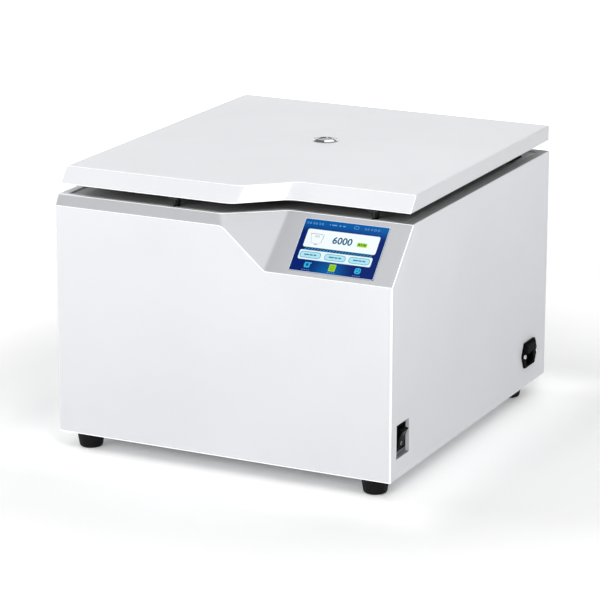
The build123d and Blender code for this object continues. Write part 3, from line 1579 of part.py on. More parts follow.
# ------------------------------------------------------------------ the whole machine
def machine():
    """Every piece of the machine by its name."""
    left, right = -1, 1
    locks = striker_places()
    return {
        "housing_shell": housing_shell(),
        "rear_panel": rear_panel(),
        "rear_screws": rear_screws(),
        "base_plate": base_plate(),
        "top_deck": top_deck(),
        "rubber_feet": at_feet(foot()),
        "foot_screws": at_feet(foot_screw()),
        "foot_nuts": at_feet(hex_nut()),
        "chamber_bowl": chamber_bowl(),
        "guard_ring": guard_ring(),
        "chamber_seal": chamber_seal(),
        "lid_cover": lid_cover(),
        "lid_plate": lid_plate(),
        "port_bezel": port_bezel(),
        "port_glass": port_glass(),
        "hinge_fixed_leaves": [fixed_leaf(x) for x in hinge_places()],
        "hinge_moving_leaves": [moving_leaf(x) for x in hinge_places()],
        "hinge_pins": [hinge_pin(x) for x in hinge_places()],
        "hinge_screws": hinge_screws(),
        "gas_spring_tube_left": spring_tube(left),
        "gas_spring_tube_right": spring_tube(right),
        "gas_spring_rod_left": spring_rod(left),
        "gas_spring_rod_right": spring_rod(right),
        "gas_spring_lid_brackets": [spring_top_bracket(side) for side in (left, right)],
        "gas_spring_base_brackets": [spring_foot_bracket(side) for side in (left, right)],
        "lid_strikers": for_locks(striker),
        "lock_housings": for_locks(lock_frame),
        "lock_hook_left": lock_hook(*locks[0]),
        "lock_hook_right": lock_hook(*locks[1]),
        "lock_pins": for_locks(hook_pin),
        "lock_motors": for_locks(lock_motor),
        "motor_body": motor_body(),
        "motor_plate": motor_plate(),
        "motor_posts": at_dampers(damper_post()),
        "motor_dampers": at_dampers(damper()),
        "lower_bearing": bearing(lower_bearing_z),
        "upper_bearing": bearing(upper_bearing_z),
        "drive_shaft": drive_shaft(),
        "shaft_boot": shaft_boot(),
        "rotor_yoke": rotor_yoke(),
        "rotor_nut": rotor_nut(),
        "trunnion_pins": trunnion_pins(),
        "plate_carrier_left": plate_carrier(left),
        "plate_carrier_right": plate_carrier(right),
        "touch_screen": touch_screen(),
        "display_module": display_module(),
        "control_board": control_board(),
        "switch_body": switch_body(),
        "switch_rocker": switch_rocker(),
        "inlet_body": inlet_body(),
        "inlet_pins": inlet_pins(),
        "fuse_drawer": fuse_drawer(),
        "inlet_screws": inlet_screws(),
        "fan_frame": fan_frame(),
        "fan_blades": fan_blades_ring(),
        "drive_board": drive_board(),
        "drive_heatsink": heatsink(),
        "mains_filter": mains_filter(),
        "imbalance_switch": imbalance_switch(),
    }


def write_parts():
    """Write one STEP file for each piece."""
    os.makedirs("parts", exist_ok=True)
    for name, piece in machine().items():
        whole = Compound(children=list(piece)) if isinstance(piece, list) else piece
        export_step(whole, f"parts/{name}.step")


write_parts()
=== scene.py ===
"""Dressed model of a bench centrifuge for microplates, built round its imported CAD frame.

Every length is in metres, in the frame of the CAD: +X to the operator's right, +Y to the rear, +Z up, with
the origin on the bench under the middle of the casing. Most pieces of the machine are the CAD solids
themselves with a finish of their own. What a solid can't show, such as the picture on the touch screen, the
marks on the power switch and the curve of its rocker, is built here as meshes that ride on the same bodies.
"""

import logging
import math
from dataclasses import dataclass, field
from enum import Enum
from functools import cached_property
from typing import Any, Iterable, Sequence

import bmesh
import bpy
from mathutils import Matrix, Vector


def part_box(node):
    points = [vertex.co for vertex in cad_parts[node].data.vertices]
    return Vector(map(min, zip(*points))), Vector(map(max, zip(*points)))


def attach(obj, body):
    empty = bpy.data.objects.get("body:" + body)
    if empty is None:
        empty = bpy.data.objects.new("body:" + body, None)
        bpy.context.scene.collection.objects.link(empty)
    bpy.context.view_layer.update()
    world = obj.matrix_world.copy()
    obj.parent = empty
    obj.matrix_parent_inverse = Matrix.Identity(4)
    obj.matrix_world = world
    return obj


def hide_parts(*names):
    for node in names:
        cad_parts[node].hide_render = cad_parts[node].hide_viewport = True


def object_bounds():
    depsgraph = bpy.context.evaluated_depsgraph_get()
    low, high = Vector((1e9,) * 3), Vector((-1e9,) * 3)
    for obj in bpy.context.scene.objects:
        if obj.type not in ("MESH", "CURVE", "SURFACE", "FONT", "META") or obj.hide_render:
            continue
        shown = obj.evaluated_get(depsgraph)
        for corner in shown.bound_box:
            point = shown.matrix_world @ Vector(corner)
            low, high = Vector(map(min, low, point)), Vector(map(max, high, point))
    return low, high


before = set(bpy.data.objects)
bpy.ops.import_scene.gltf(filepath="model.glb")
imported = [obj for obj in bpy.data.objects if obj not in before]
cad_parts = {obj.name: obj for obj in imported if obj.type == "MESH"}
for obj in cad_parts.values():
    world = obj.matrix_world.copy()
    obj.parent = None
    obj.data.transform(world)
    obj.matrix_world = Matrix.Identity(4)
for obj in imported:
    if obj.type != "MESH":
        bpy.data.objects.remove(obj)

CAD_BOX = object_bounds()
LOG = logging.getLogger("centrifuge")
MM = 0.001

Colour = tuple[float, float, float]
Direction = tuple[float, float, float]
Point = tuple[float, float]
Span = tuple[float, float]
Socket = bpy.types.NodeSocket


# -------------------------------------------------------------------------------------- kinds of finish
class Graph:
    """Node tree of one material, with a principled shader wired to its output."""

    def __init__(self, name: str) -> None:
        """Makes an empty tree.

        Args:
            name: Name of the material.
        """
        self.material = bpy.data.materials.new(name)
        self.material.use_nodes = True
        self.tree = self.material.node_tree
        self.tree.nodes.clear()
        output = self.tree.nodes.new("ShaderNodeOutputMaterial")
        self.shader = self.tree.nodes.new("ShaderNodeBsdfPrincipled")
        self.tree.links.new(self.shader.outputs["BSDF"], output.inputs["Surface"])
        place = self.tree.nodes.new("ShaderNodeTexCoord")
        self.coordinates: Socket = place.outputs["Object"]
        self.normal: Socket = place.outputs["Normal"]

    @cached_property
    def spot(self) -> Sequence[Socket]:
        """The parts of the object's own coordinates along x, y and z."""
        return self.split(self.coordinates)

    @cached_property
    def facing(self) -> Sequence[Socket]:
        """The parts of the surface's direction along x, y and z."""
        return self.split(self.normal)

    def node(self, kind: str, inputs: dict[Any, Any] | None = None, **settings: Any) -> bpy.types.Node:
        """Adds a node.

        Args:
            kind: Type of the node, without the prefix ShaderNode.
            inputs: Value, or output socket to link from, for each input by name or number.
            **settings: Properties of the node, such as operation or blend_type.

        Returns:
            The new node.
        """
        made = self.tree.nodes.new("ShaderNode" + kind)
        for key, value in settings.items():
            setattr(made, key, value)
        for key, value in (inputs or {}).items():
            self.feed(made.inputs[key], value)
        return made

    def feed(self, socket: Socket, value: Any) -> None:
        """Links an output socket to an input, or sets the input's own value.

        Args:
            socket: The input.
            value: The output socket, or the plain value.
        """
        if isinstance(value, Socket):
            self.tree.links.new(value, socket)
        else:
            socket.default_value = value

    def constants(self, **values: Any) -> None:
        """Sets plain values on the shader's own sockets, with _ for a space in their names."""
        for key, value in values.items():
            self.shader.inputs[key.replace("_", " ")].default_value = value

    def split(self, vector: Socket) -> Sequence[Socket]:
        """The parts of a vector along x, y and z."""
        return self.node("SeparateXYZ", {0: vector}).outputs

    def vector(self, operation: str, output: str, *values: Any) -> Socket:
        """Adds a vector maths node and returns the output with this name."""
        return self.node("VectorMath", dict(enumerate(values)), operation=operation).outputs[output]

    def math(self, operation: str, *values: Any) -> Socket:
        """Adds a maths node and returns its output."""
        return self.node("Math", dict(enumerate(values)), operation=operation).outputs[0]

    def product(self, first: Any, *others: Any) -> Socket:
        """Multiplies values.

        Args:
            first: The first of them.
            *others: The rest.

        Returns:
            Their product.
        """
        for other in others:
            first = self.math("MULTIPLY", first, other)
        return first

    def ramp(self, value: Any, low: float, high: float, start: float = 0.0, end: float = 1.0) -> Socket:
        """Maps a value smoothly from one range onto another.

        Args:
            value: The value.
            low: Where the ramp starts.
            high: Where it ends.
            start: What it gives up to low.
            end: What it gives from high.

        Returns:
            The value on the ramp.
        """
        inputs = {"Value": value, "From Min": low, "From Max": high, "To Min": start, "To Max": end}
        return self.node("MapRange", inputs, interpolation_type="SMOOTHSTEP").outputs["Result"]

    def noise(self, scale: float, detail: float = 3.0, stretch: Direction = (1, 1, 1)) -> Socket:
        """Adds noise over the object's own coordinates.

        Args:
            scale: Noise cells per metre.
            detail: Octaves of finer noise.
            stretch: Scale of the coordinates along each axis, for a grain.

        Returns:
            The noise, from 0 to 1.
        """
        mapped = self.node("Mapping", {"Vector": self.coordinates, "Scale": stretch}).outputs[0]
        return self.node("TexNoise", {"Vector": mapped, "Scale": scale, "Detail": detail}).outputs["Fac"]

    def mix(self, share: Any, first: Any, second: Any) -> Socket:
        """Mixes two colours.

        Args:
            share: How much there is of the second.
            first: The first colour, plain or from a socket.
            second: The second colour, plain or from a socket.

        Returns:
            The mixed colour.
        """
        made = self.node("Mix", {0: share}, data_type="RGBA")
        for key, colour in ((6, first), (7, second)):
            self.feed(made.inputs[key], (*colour, 1.0) if isinstance(colour, tuple) else colour)
        return made.outputs[2]

    def tones(self, share: Any, colour: Colour, dark: float, light: float) -> Socket:
        """Tones of one colour, from a darker one to a lighter one."""
        return self.mix(share, shade(colour, dark), shade(colour, light))

    def colour(self, value: Socket) -> None:
        """Feeds the shader's colour."""
        self.feed(self.shader.inputs["Base Color"], value)

    def roughness(self, value: Socket) -> None:
        """Feeds the shader's roughness."""
        self.feed(self.shader.inputs["Roughness"], value)

    def glow(self, colour: Any, strength: Any) -> None:
        """Feeds the light that the surface gives off by itself."""
        self.feed(self.shader.inputs["Emission Color"], colour)
        self.feed(self.shader.inputs["Emission Strength"], strength)

    def bump(self, height: Socket, depth: float) -> None:
        """Feeds the shader's normal from a height, in metres of depth."""
        made = self.node("Bump", {"Height": height, "Distance": depth, "Strength": 1.0})
        self.feed(self.shader.inputs["Normal"], made.outputs["Normal"])


MIDDLE: Span = (0.3, 0.7)  # range in which most of a noise lies
SQUARE: tuple[Direction, ...] = ((1, 0, 0), (0, 1, 0), (0, 0, 1))


def shade(colour: Colour, factor: float) -> Colour:
    """The colour made lighter or darker by a factor, within 0 to 1."""
    return tuple(min(1.0, max(0.0, c * factor)) for c in colour)


@dataclass(frozen=True)
class Finish:
    """A surface finish. Its material is made once, at its first use.

    tone is the range of factors that make its colour darker and lighter in places, wear the range of what is
    added to its roughness, and relief the depth of its fine texture in metres.
    """

    name: str
    colour: Colour
    roughness: float
    tone: Span = (0.92, 1.08)
    wear: Span = (-0.05, 0.07)
    relief: float = 0.00002

    def material(self) -> bpy.types.Material:
        """Finds the finish's material, or makes it.

        Returns:
            The material.
        """
        found = bpy.data.materials.get(self.name)
        if found is not None:
            return found
        graph = Graph(self.name)
        self.fill(graph)
        return graph.material

    def fill(self, graph: Graph) -> None:
        """Builds the nodes of the finish."""
        raise NotImplementedError

    def toned(self, graph: Graph, share: Socket) -> Socket:
        """The finish's colour, darker and lighter in places."""
        return graph.tones(share, self.colour, *self.tone)

    def worn(self, graph: Graph, noise: Socket, span: Span = MIDDLE) -> Socket:
        """The finish's roughness, with wear that grows over a range of the noise."""
        return graph.ramp(noise, *span, *(self.roughness + change for change in self.wear))


@dataclass(frozen=True)
class PowderCoatAndPaintedLight(Finish):
    """Satin powder coat on sheet: fine orange peel and faint cloudiness, with painted highlights on its
    folds and painted shade in several places.

    flats are the directions of the flat faces, so that what faces another way is a fold. A fold that faces
    the front is painted fold_highlight_colour as a painted highlight, and gives off fold_highlight_glow by
    itself, and hem_highlight_glow where it faces down, as a painted glowing highlight; a fold that faces
    left is darkened as painted shade.
    tilted_colour is the paint of the faces that lean back at the front, and facet_painted_light_colour a
    lighter copy of it on the slanted one among them, as painted light. shelf_shade_colour is painted shade
    on the narrow top that the lid overhangs. sunk is the range across the machine in which a face to the
    right is the floor of a recess, painted recess_shade_colour as painted shade. Each share is a factor on a
    colour: side_shade_share darkens what faces right, left_fold_shade_share the folds on the left,
    panel_crease_shade_share the panel by its crease and shelf_end_shade_share the narrow top's right end,
    all as painted shade, while panel_painted_light_share lightens the panel further right as painted light.
    """

    tone: Span = (0.985, 1.012)
    wear: Span = (-0.03, 0.03)
    flats: tuple[Direction, ...] = SQUARE
    # Painted highlight on front folds: colour, glow, and glow where they face down.
    fold_highlight_colour: Colour = (0.98, 0.98, 0.98)
    fold_highlight_glow: float = 0.0
    hem_highlight_glow: float = 0.0
    tilted_colour: Colour | None = None
    # Painted light: a lighter copy of the leaning paint on the slanted face.
    facet_painted_light_colour: Colour | None = None
    # Painted shade on the narrow top under the lid.
    shelf_shade_colour: Colour | None = None
    # Painted shade on the floor of the recess.
    sunk: Span | None = None
    recess_shade_colour: Colour = (0.16, 0.16, 0.165)
    # Painted shade on what faces right.
    side_shade_share: float = 1.0
    # Painted shade on the folds on the left.
    left_fold_shade_share: float = 0.6
    # Painted shade on the panel by its crease, painted light on it further right.
    panel_crease_shade_share: float = 0.955
    panel_painted_light_share: float = 1.08
    # Painted shade at the narrow top's right end.
    shelf_end_shade_share: float = 0.5
    specular: float = 0.3

    # Ranges of a face's direction, by its part along one axis or the product of two.
    rightward: Span = (0.7, 0.95)
    leaning: Span = (0.29, 0.36)
    slanting: Span = (0.1, 0.4)
    upward: Span = (0.93, 0.99)
    flatness: Span = (0.985, 0.999)
    leftward: Span = (-0.6, -0.2)
    frontward: Span = (-0.3, -0.02)
    downward: Span = (-0.5, -0.1)
    sunk_rightward: float = 0.9

    # Ranges across the machine, in metres.
    # Ranges of the panel's painted shade and painted light.
    panel_crease_shade_reach: Span = (-0.01, 0.03)
    panel_painted_light_reach: Span = (0.06, 0.11)
    # Ranges of the narrow top's painted shade.
    shelf_shade_left: Span = (-0.215, -0.17)
    shelf_shade_right: Span = (0.195, 0.215)

    def fill(self, graph: Graph) -> None:
        """Builds the nodes of the finish.

        Args:
            graph: The material's node tree.
        """
        paint = self.toned(graph, graph.ramp(graph.noise(scale=7.0, detail=2.0), *MIDDLE))
        # Painted shade on what faces right.
        if self.side_shade_share < 1.0:
            side = graph.ramp(graph.facing[0], *self.rightward)
            paint = graph.mix(side, paint, shade(self.colour, self.side_shade_share))
        if self.tilted_colour is not None:
            paint = self.tilt(graph, paint, self.tilted_colour)
        # Painted shade on the narrow top under the lid.
        if self.shelf_shade_colour is not None:
            paint = self.paint_shelf_shade(graph, paint, self.shelf_shade_colour)
        # Painted highlight on the folds that face the front.
        bend = self.bend(graph)
        right = graph.ramp(graph.facing[0], *self.leftward)
        fold = graph.product(bend, right, graph.ramp(graph.facing[1], *self.frontward, 1.0, 0.0))
        paint = graph.mix(fold, paint, self.fold_highlight_colour)
        # Painted shade on the folds that face left.
        left_fold_shade = graph.product(bend, graph.ramp(graph.facing[0], *self.leftward, 1.0, 0.0))
        paint = graph.mix(left_fold_shade, paint, shade(self.colour, self.left_fold_shade_share))
        # Painted shade on the recess floor.
        if self.sunk is not None:
            paint = self.sink(graph, paint, self.sunk)
        graph.colour(paint)
        # Painted highlight: the front folds glow, with their own glow where they face down.
        hem = graph.ramp(graph.facing[2], *self.downward, self.hem_highlight_glow, self.fold_highlight_glow)
        graph.glow(paint, graph.product(fold, hem))
        graph.constants(Specular_IOR_Level=self.specular)
        peel = graph.noise(scale=900.0, detail=2.0)
        graph.roughness(self.worn(graph, peel))
        graph.bump(peel, self.relief)

    def tilt(self, graph: Graph, paint: Socket, colour: Colour) -> Socket:
        """Paints the faces that lean back, and the slanted one among them, with painted shade on the panel
        by its crease, painted light further right on it and a lighter copy as painted light on the slanted
        face.

        Args:
            graph: The material's node tree.
            paint: Paint of the other faces.
            colour: Paint of the leaning ones.

        Returns:
            The paint of all of them.
        """
        # Painted shade on the panel by its crease, painted light further right.
        flat = graph.tones(graph.ramp(graph.spot[0], *self.panel_crease_shade_reach), colour, 1.0, self.panel_crease_shade_share)
        raised = shade(colour, self.panel_painted_light_share)
        flat = graph.mix(graph.ramp(graph.spot[0], *self.panel_painted_light_reach), flat, raised)
        # Painted light: a lighter copy on the slanted face.
        tilted = graph.mix(graph.ramp(graph.facing[0], *self.slanting), flat, self.facet_painted_light_colour or colour)
        lean = graph.product(graph.facing[1], -1.0, graph.facing[2])
        return graph.mix(graph.ramp(lean, *self.leaning), paint, tilted)

    def paint_shelf_shade(self, graph: Graph, paint: Socket, colour: Colour) -> Socket:
        """Paints shade on the narrow top under the lid, darker still at its right end, as painted shade.

        Args:
            graph: The material's node tree.
            paint: Paint of the other faces.
            colour: Painted shade of the narrow top.

        Returns:
            The paint of all of them.
        """
        top = graph.ramp(graph.facing[2], *self.upward)
        shelf_shade_mask = graph.product(top, graph.ramp(graph.spot[0], *self.shelf_shade_left))
        end = graph.ramp(graph.spot[0], *self.shelf_shade_right)
        return graph.mix(shelf_shade_mask, paint, graph.tones(end, colour, 1.0, self.shelf_end_shade_share))

    def bend(self, graph: Graph) -> Socket:
        """Finds the folds.

        Args:
            graph: The material's node tree.

        Returns:
            1 on a fold and 0 on a flat face.
        """
        nearest: Any = 0.0
        for flat in self.flats:
            unit = tuple(Vector(flat).normalized())
            likeness = graph.math("ABSOLUTE", graph.vector("DOT_PRODUCT", "Value", graph.normal, unit))
            nearest = graph.math("MAXIMUM", nearest, likeness)
        return graph.ramp(nearest, *self.flatness, 1.0, 0.0)

    def sink(self, graph: Graph, paint: Socket, reach: Span) -> Socket:
        """Paints the recess floor darker, as painted shade.

        Args:
            graph: The material's node tree.
            paint: Paint of the other faces.
            reach: Range across the machine in which the floor lies.

        Returns:
            The paint of all of them.
        """
        after = graph.math("GREATER_THAN", graph.spot[0], reach[0])
        before = graph.math("LESS_THAN", graph.spot[0], reach[1])
        square = graph.math("GREATER_THAN", graph.facing[0], self.sunk_rightward)
        return graph.mix(graph.product(after, before, square), paint, self.recess_shade_colour)


@dataclass(frozen=True)
class SheetMetal(Finish):
    """Bare or plated sheet with a grain along one axis."""

    tone: Span = (0.88, 1.12)
    wear: Span = (-0.06, 0.08)
    relief: float = 0.000012
    grain: Direction = (1, 40, 40)
    streak_share: float = 0.7
    contrast: Span = (0.35, 0.65)

    def fill(self, graph: Graph) -> None:
        """Builds the nodes of the finish.

        Args:
            graph: The material's node tree.
        """
        streaks = graph.noise(scale=60.0, detail=4.0, stretch=self.grain)
        patches = graph.product(graph.noise(scale=14.0, detail=2.0), 1 - self.streak_share)
        pattern = graph.math("ADD", graph.product(streaks, self.streak_share), patches)
        graph.colour(self.toned(graph, graph.ramp(pattern, *self.contrast)))
        graph.roughness(self.worn(graph, streaks))
        graph.bump(streaks, self.relief)
        graph.constants(Metallic=1.0)


@dataclass(frozen=True)
class TurnedMetal(Finish):
    """Metal turned on a lathe or spun, with fine rings about an upright axis."""

    tone: Span = (0.88, 1.1)
    relief: float = 0.000008
    centre: Point = (0.0, 0.0)
    pitch: float = 0.0009

    def fill(self, graph: Graph) -> None:
        """Builds the nodes of the finish.

        Args:
            graph: The material's node tree.
        """
        x, y, z = graph.split(graph.vector("SUBTRACT", "Vector", graph.coordinates, (*self.centre, 0.0)))
        radius = graph.math("SQRT", graph.math("ADD", graph.product(x, x), graph.product(y, y)))
        path = graph.node("CombineXYZ", {0: radius, 1: z}).outputs[0]
        inputs = {"Vector": path, "Scale": 1 / self.pitch, "Detail": 2.0}
        rings = graph.node("TexNoise", inputs).outputs["Fac"]
        graph.colour(self.toned(graph, graph.ramp(rings, *MIDDLE)))
        graph.roughness(self.worn(graph, graph.noise(scale=9.0)))
        graph.bump(rings, self.relief)
        graph.constants(Metallic=1.0)


@dataclass(frozen=True)
class Polished(Finish):
    """Bright plating with faint handling marks. Where level_reflection_share is under 1, its level faces are
    darker, as a painted dark reflection.
    """

    tone: Span = (0.94, 1.04)
    wear: Span = (0.0, 0.1)
    marks: Span = (0.35, 0.75)
    level: Span = (0.990, 0.998)
    # Painted dark reflection on the level faces.
    level_reflection_share: float = 1.0

    def fill(self, graph: Graph) -> None:
        """Builds the nodes of the finish.

        Args:
            graph: The material's node tree.
        """
        smudge = graph.noise(scale=120.0, detail=4.0)
        plating = self.toned(graph, smudge)
        # Painted dark reflection on the level faces.
        if self.level_reflection_share < 1.0:
            level = graph.ramp(graph.facing[2], *self.level)
            plating = graph.mix(level, plating, shade(self.colour, self.level_reflection_share))
        graph.colour(plating)
        graph.roughness(self.worn(graph, smudge, self.marks))
        graph.constants(Metallic=1.0)


@dataclass(frozen=True)
class Rubber(Finish):
    """Moulded rubber with a dusty, slightly uneven skin."""

    tone: Span = (1.0, 1.7)
    wear: Span = (-0.08, 0.06)
    relief: float = 0.00003
    dusty: Span = (0.35, 0.75)

    def fill(self, graph: Graph) -> None:
        """Builds the nodes of the finish.

        Args:
            graph: The material's node tree.
        """
        dust = graph.noise(scale=70.0, detail=5.0)
        graph.colour(self.toned(graph, graph.ramp(dust, *self.dusty)))
        graph.roughness(self.worn(graph, dust))
        graph.bump(graph.noise(scale=2200.0, detail=2.0), self.relief)
        graph.constants(Specular_IOR_Level=0.12)


@dataclass(frozen=True)
class Moulded(Finish):
    """Moulded plastic with an eroded texture from its tool."""

    tone: Span = (0.85, 1.2)
    wear: Span = (-0.06, 0.06)
    grain: float = 1500.0
    gloss: float = 0.5

    def fill(self, graph: Graph) -> None:
        """Builds the nodes of the finish.

        Args:
            graph: The material's node tree.
        """
        grain = graph.noise(self.grain, detail=2.0)
        graph.colour(self.toned(graph, graph.noise(scale=30.0)))
        graph.roughness(self.worn(graph, grain))
        graph.bump(grain, self.relief)
        graph.constants(Specular_IOR_Level=self.gloss)


@dataclass(frozen=True)
class Anodised(Finish):
    """Blasted and anodised aluminium."""

    def fill(self, graph: Graph) -> None:
        """Builds the nodes of the finish.

        Args:
            graph: The material's node tree.
        """
        blast = graph.noise(scale=1800.0, detail=2.0)
        graph.colour(self.toned(graph, graph.noise(scale=12.0, detail=2.0)))
        graph.roughness(self.worn(graph, blast))
        graph.bump(blast, self.relief)
        graph.constants(Metallic=0.9)


@dataclass(frozen=True)
class WindowGlass(Finish):
    """Clear glass with faint wiping marks."""

    tone: Span = (0.97, 1.0)
    wear: Span = (0.0, 0.05)
    marks: Span = (0.4, 0.8)

    def fill(self, graph: Graph) -> None:
        """Builds the nodes of the finish.

        Args:
            graph: The material's node tree.
        """
        wiped = graph.noise(scale=200.0)
        graph.colour(self.toned(graph, wiped))
        graph.roughness(self.worn(graph, wiped, self.marks))
        graph.constants(Transmission_Weight=0.9, IOR=1.5)


@dataclass(frozen=True)
class CircuitBoard(Finish):
    """Green board with copper runs under its lacquer."""

    wear: Span = (-0.05, 0.1)
    relief: float = 0.00003
    copper: Colour = (0.10, 0.42, 0.16)
    run_edge: Span = (0.06, 0.1)

    def fill(self, graph: Graph) -> None:
        """Builds the nodes of the finish.

        Args:
            graph: The material's node tree.
        """
        inputs = {"Vector": graph.coordinates, "Scale": 420.0, "Randomness": 0.15}
        cells = graph.node("TexVoronoi", inputs, feature="DISTANCE_TO_EDGE").outputs["Distance"]
        runs = graph.ramp(cells, *self.run_edge, 1.0, 0.0)
        graph.colour(graph.mix(runs, self.colour, self.copper))
        graph.roughness(self.worn(graph, graph.noise(scale=300.0)))
        graph.bump(runs, self.relief)


@dataclass(frozen=True)
class LitScreen(Finish):
    """Backlit screen under glass: a deep blue field, brighter along its head and at one spot of its foot."""

    wear: Span = (0.0, 0.04)
    foot_colour: Colour = (0.0, 0.085, 0.29)
    head_colour: Colour = (0.0, 0.085, 0.31)
    foot: Direction = (0.0, 0.0, 0.0)
    up: Direction = (0.0, 0.0, 1.0)
    reach: float = 0.034
    head: Span = (0.050, 0.066)
    flicker: float = 0.03
    strength: float = 0.15

    def fill(self, graph: Graph) -> None:
        """Builds the nodes of the finish.

        Args:
            graph: The material's node tree.
        """
        local = graph.vector("SUBTRACT", "Vector", graph.coordinates, self.foot)
        away = graph.vector("LENGTH", "Value", local)
        height = graph.vector("DOT_PRODUCT", "Value", local, self.up)
        pixels = graph.ramp(graph.noise(scale=6000.0, detail=0.0), 0.0, 1.0, -self.flicker, self.flicker)
        share = graph.math("ADD", graph.ramp(away, 0.0, self.reach, 1.0, 0.0), pixels)
        blue = graph.mix(share, self.colour, self.foot_colour)
        blue = graph.mix(graph.ramp(height, *self.head), blue, self.head_colour)
        graph.colour(blue)
        graph.glow(blue, self.strength)
        graph.roughness(self.worn(graph, graph.noise(scale=90.0)))
        graph.constants(Specular_IOR_Level=0.1)


@dataclass(frozen=True)
class ScreenInk(Finish):
    """A bright part of the screen's picture."""

    roughness: float = 0.3
    tone: Span = (0.96, 1.04)
    wear: Span = (-0.02, 0.02)
    strength: float = 0.25

    def fill(self, graph: Graph) -> None:
        """Builds the nodes of the finish.

        Args:
            graph: The material's node tree.
        """
        pixels = graph.noise(scale=6000.0, detail=0.0)
        ink = self.toned(graph, pixels)
        graph.colour(ink)
        graph.glow(ink, self.strength)
        graph.roughness(self.worn(graph, pixels, (0.0, 1.0)))
        graph.constants(Specular_IOR_Level=0.1)


@dataclass(frozen=True)
class PaleFloor(Finish):
    """Plain pale floor, lit from below like a light table, and brighter away from the machine.

    Along the edge of the machine's cast shadow it glows more, as painted light that lightens the shadow.
    machine is how far the machine reaches from the middle to the side and to the front.
    """

    tone: Span = (0.998, 1.0)
    machine: Point = (-CAD_BOX[0][0], -CAD_BOX[0][1])
    # Painted light: glow that lightens the machine's cast shadow along its edge.
    shadow_lift_glow: float = 0.22
    shadow_lift_start: Span = (-0.060, -0.005)
    shadow_lift_end: Span = (0.0, 0.11)
    step_glow: float = 0.18
    step: Span = (0.42, 0.70)
    near_glow: float = 0.06
    far_glow: float = 0.72
    far: Span = (0.8, 2.4)

    def fill(self, graph: Graph) -> None:
        """Builds the nodes of the finish.

        Args:
            graph: The material's node tree.
        """
        graph.colour(self.toned(graph, graph.noise(scale=1.5, detail=2.0)))
        graph.constants(Roughness=self.roughness, Specular_IOR_Level=0.1)
        away = graph.vector("LENGTH", "Value", graph.coordinates)
        glow = graph.ramp(away, *self.far, self.near_glow, self.far_glow)
        glow = graph.math("ADD", glow, graph.ramp(away, *self.step, 0.0, self.step_glow))
        across, along = (
            graph.math("SUBTRACT", graph.math("ABSOLUTE", graph.spot[axis]), self.machine[axis])
            for axis in range(2)
        )
        # Painted light along the edge of the machine's cast shadow.
        outside = graph.math("MAXIMUM", across, along)
        start = graph.ramp(outside, *self.shadow_lift_start, 0.0, self.shadow_lift_glow)
        edge = graph.product(start, graph.ramp(outside, *self.shadow_lift_end, 1.0, 0.0))
        graph.glow((1.0, 1.0, 1.0, 1.0), graph.math("ADD", glow, edge))


# ------------------------------------------------------------------------------------------- mesh building
@dataclass(frozen=True)
class Place:
    """A flat place on the machine: an origin, the directions right and up on it, and the way out of it."""

    origin: Vector
    right: Vector
    up: Vector

    @property
    def out(self) -> Vector:
        """The direction away from the machine."""
        return self.right.cross(self.up)

    def at(self, right: float, up: float, out: float = 0.0) -> Vector:
        """The point this far right, up and out."""
        return self.origin + self.right * right + self.up * up + self.out * out

    def moved(self, right: float, up: float, out: float = 0.0) -> "Place":
        """The same place with its origin moved."""
        return Place(self.at(right, up, out), self.right, self.up)


def face_place(node: str, towards: Vector, right: Vector) -> Place:
    """Finds the flat front of a CAD node.

    Args:
        node: Name of the CAD node.
        towards: Rough direction that the front faces.
        right: Direction that is right on the front.

    Returns:
        The front's place, with its origin in the middle of the front.
    """
    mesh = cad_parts[node].data
    best = max(polygon.normal.dot(towards) for polygon in mesh.polygons)
    chosen = [p for p in mesh.polygons if p.normal.dot(towards) > best - 1e-4]
    normal = chosen[0].normal.copy()
    across = (right - normal * right.dot(normal)).normalized()
    up = normal.cross(across)
    points = [mesh.vertices[i].co for polygon in chosen for i in polygon.vertices]
    spans = [[p.dot(way) for p in points] for way in (across, up, normal)]
    middle = [(min(s) + max(s)) / 2 for s in spans[:2]] + [max(spans[2])]
    return Place(across * middle[0] + up * middle[1] + normal * middle[2], across, up)


def direction(azimuth: float, elevation: float) -> Vector:
    """The way to a point at angles in degrees, round to the right from the front and up."""
    turn, rise = math.radians(azimuth), math.radians(elevation)
    return Vector((math.sin(turn) * math.cos(rise), -math.cos(turn) * math.cos(rise), math.sin(rise)))


def arc(centre: Point, radius: float, start: float, end: float, steps: int) -> list[Point]:
    """Points on an arc between two angles in degrees, both ends included."""
    turns = [math.radians(start + (end - start) * k / steps) for k in range(steps + 1)]
    return [(centre[0] + radius * math.cos(t), centre[1] + radius * math.sin(t)) for t in turns]


def rounded(width: float, height: float, radius: float, steps: int) -> list[Point]:
    """Outlines a rectangle with round corners about the origin.

    Args:
        width: Its width.
        height: Its height.
        radius: Radius of its corners.
        steps: Sides to each corner.

    Returns:
        Its points, counter-clockwise.
    """
    x, y = width / 2 - radius, height / 2 - radius
    corners = (((x, y), 0), ((-x, y), 90), ((-x, -y), 180), ((x, -y), 270))
    return [point for centre, start in corners for point in arc(centre, radius, start, start + 90, steps)]


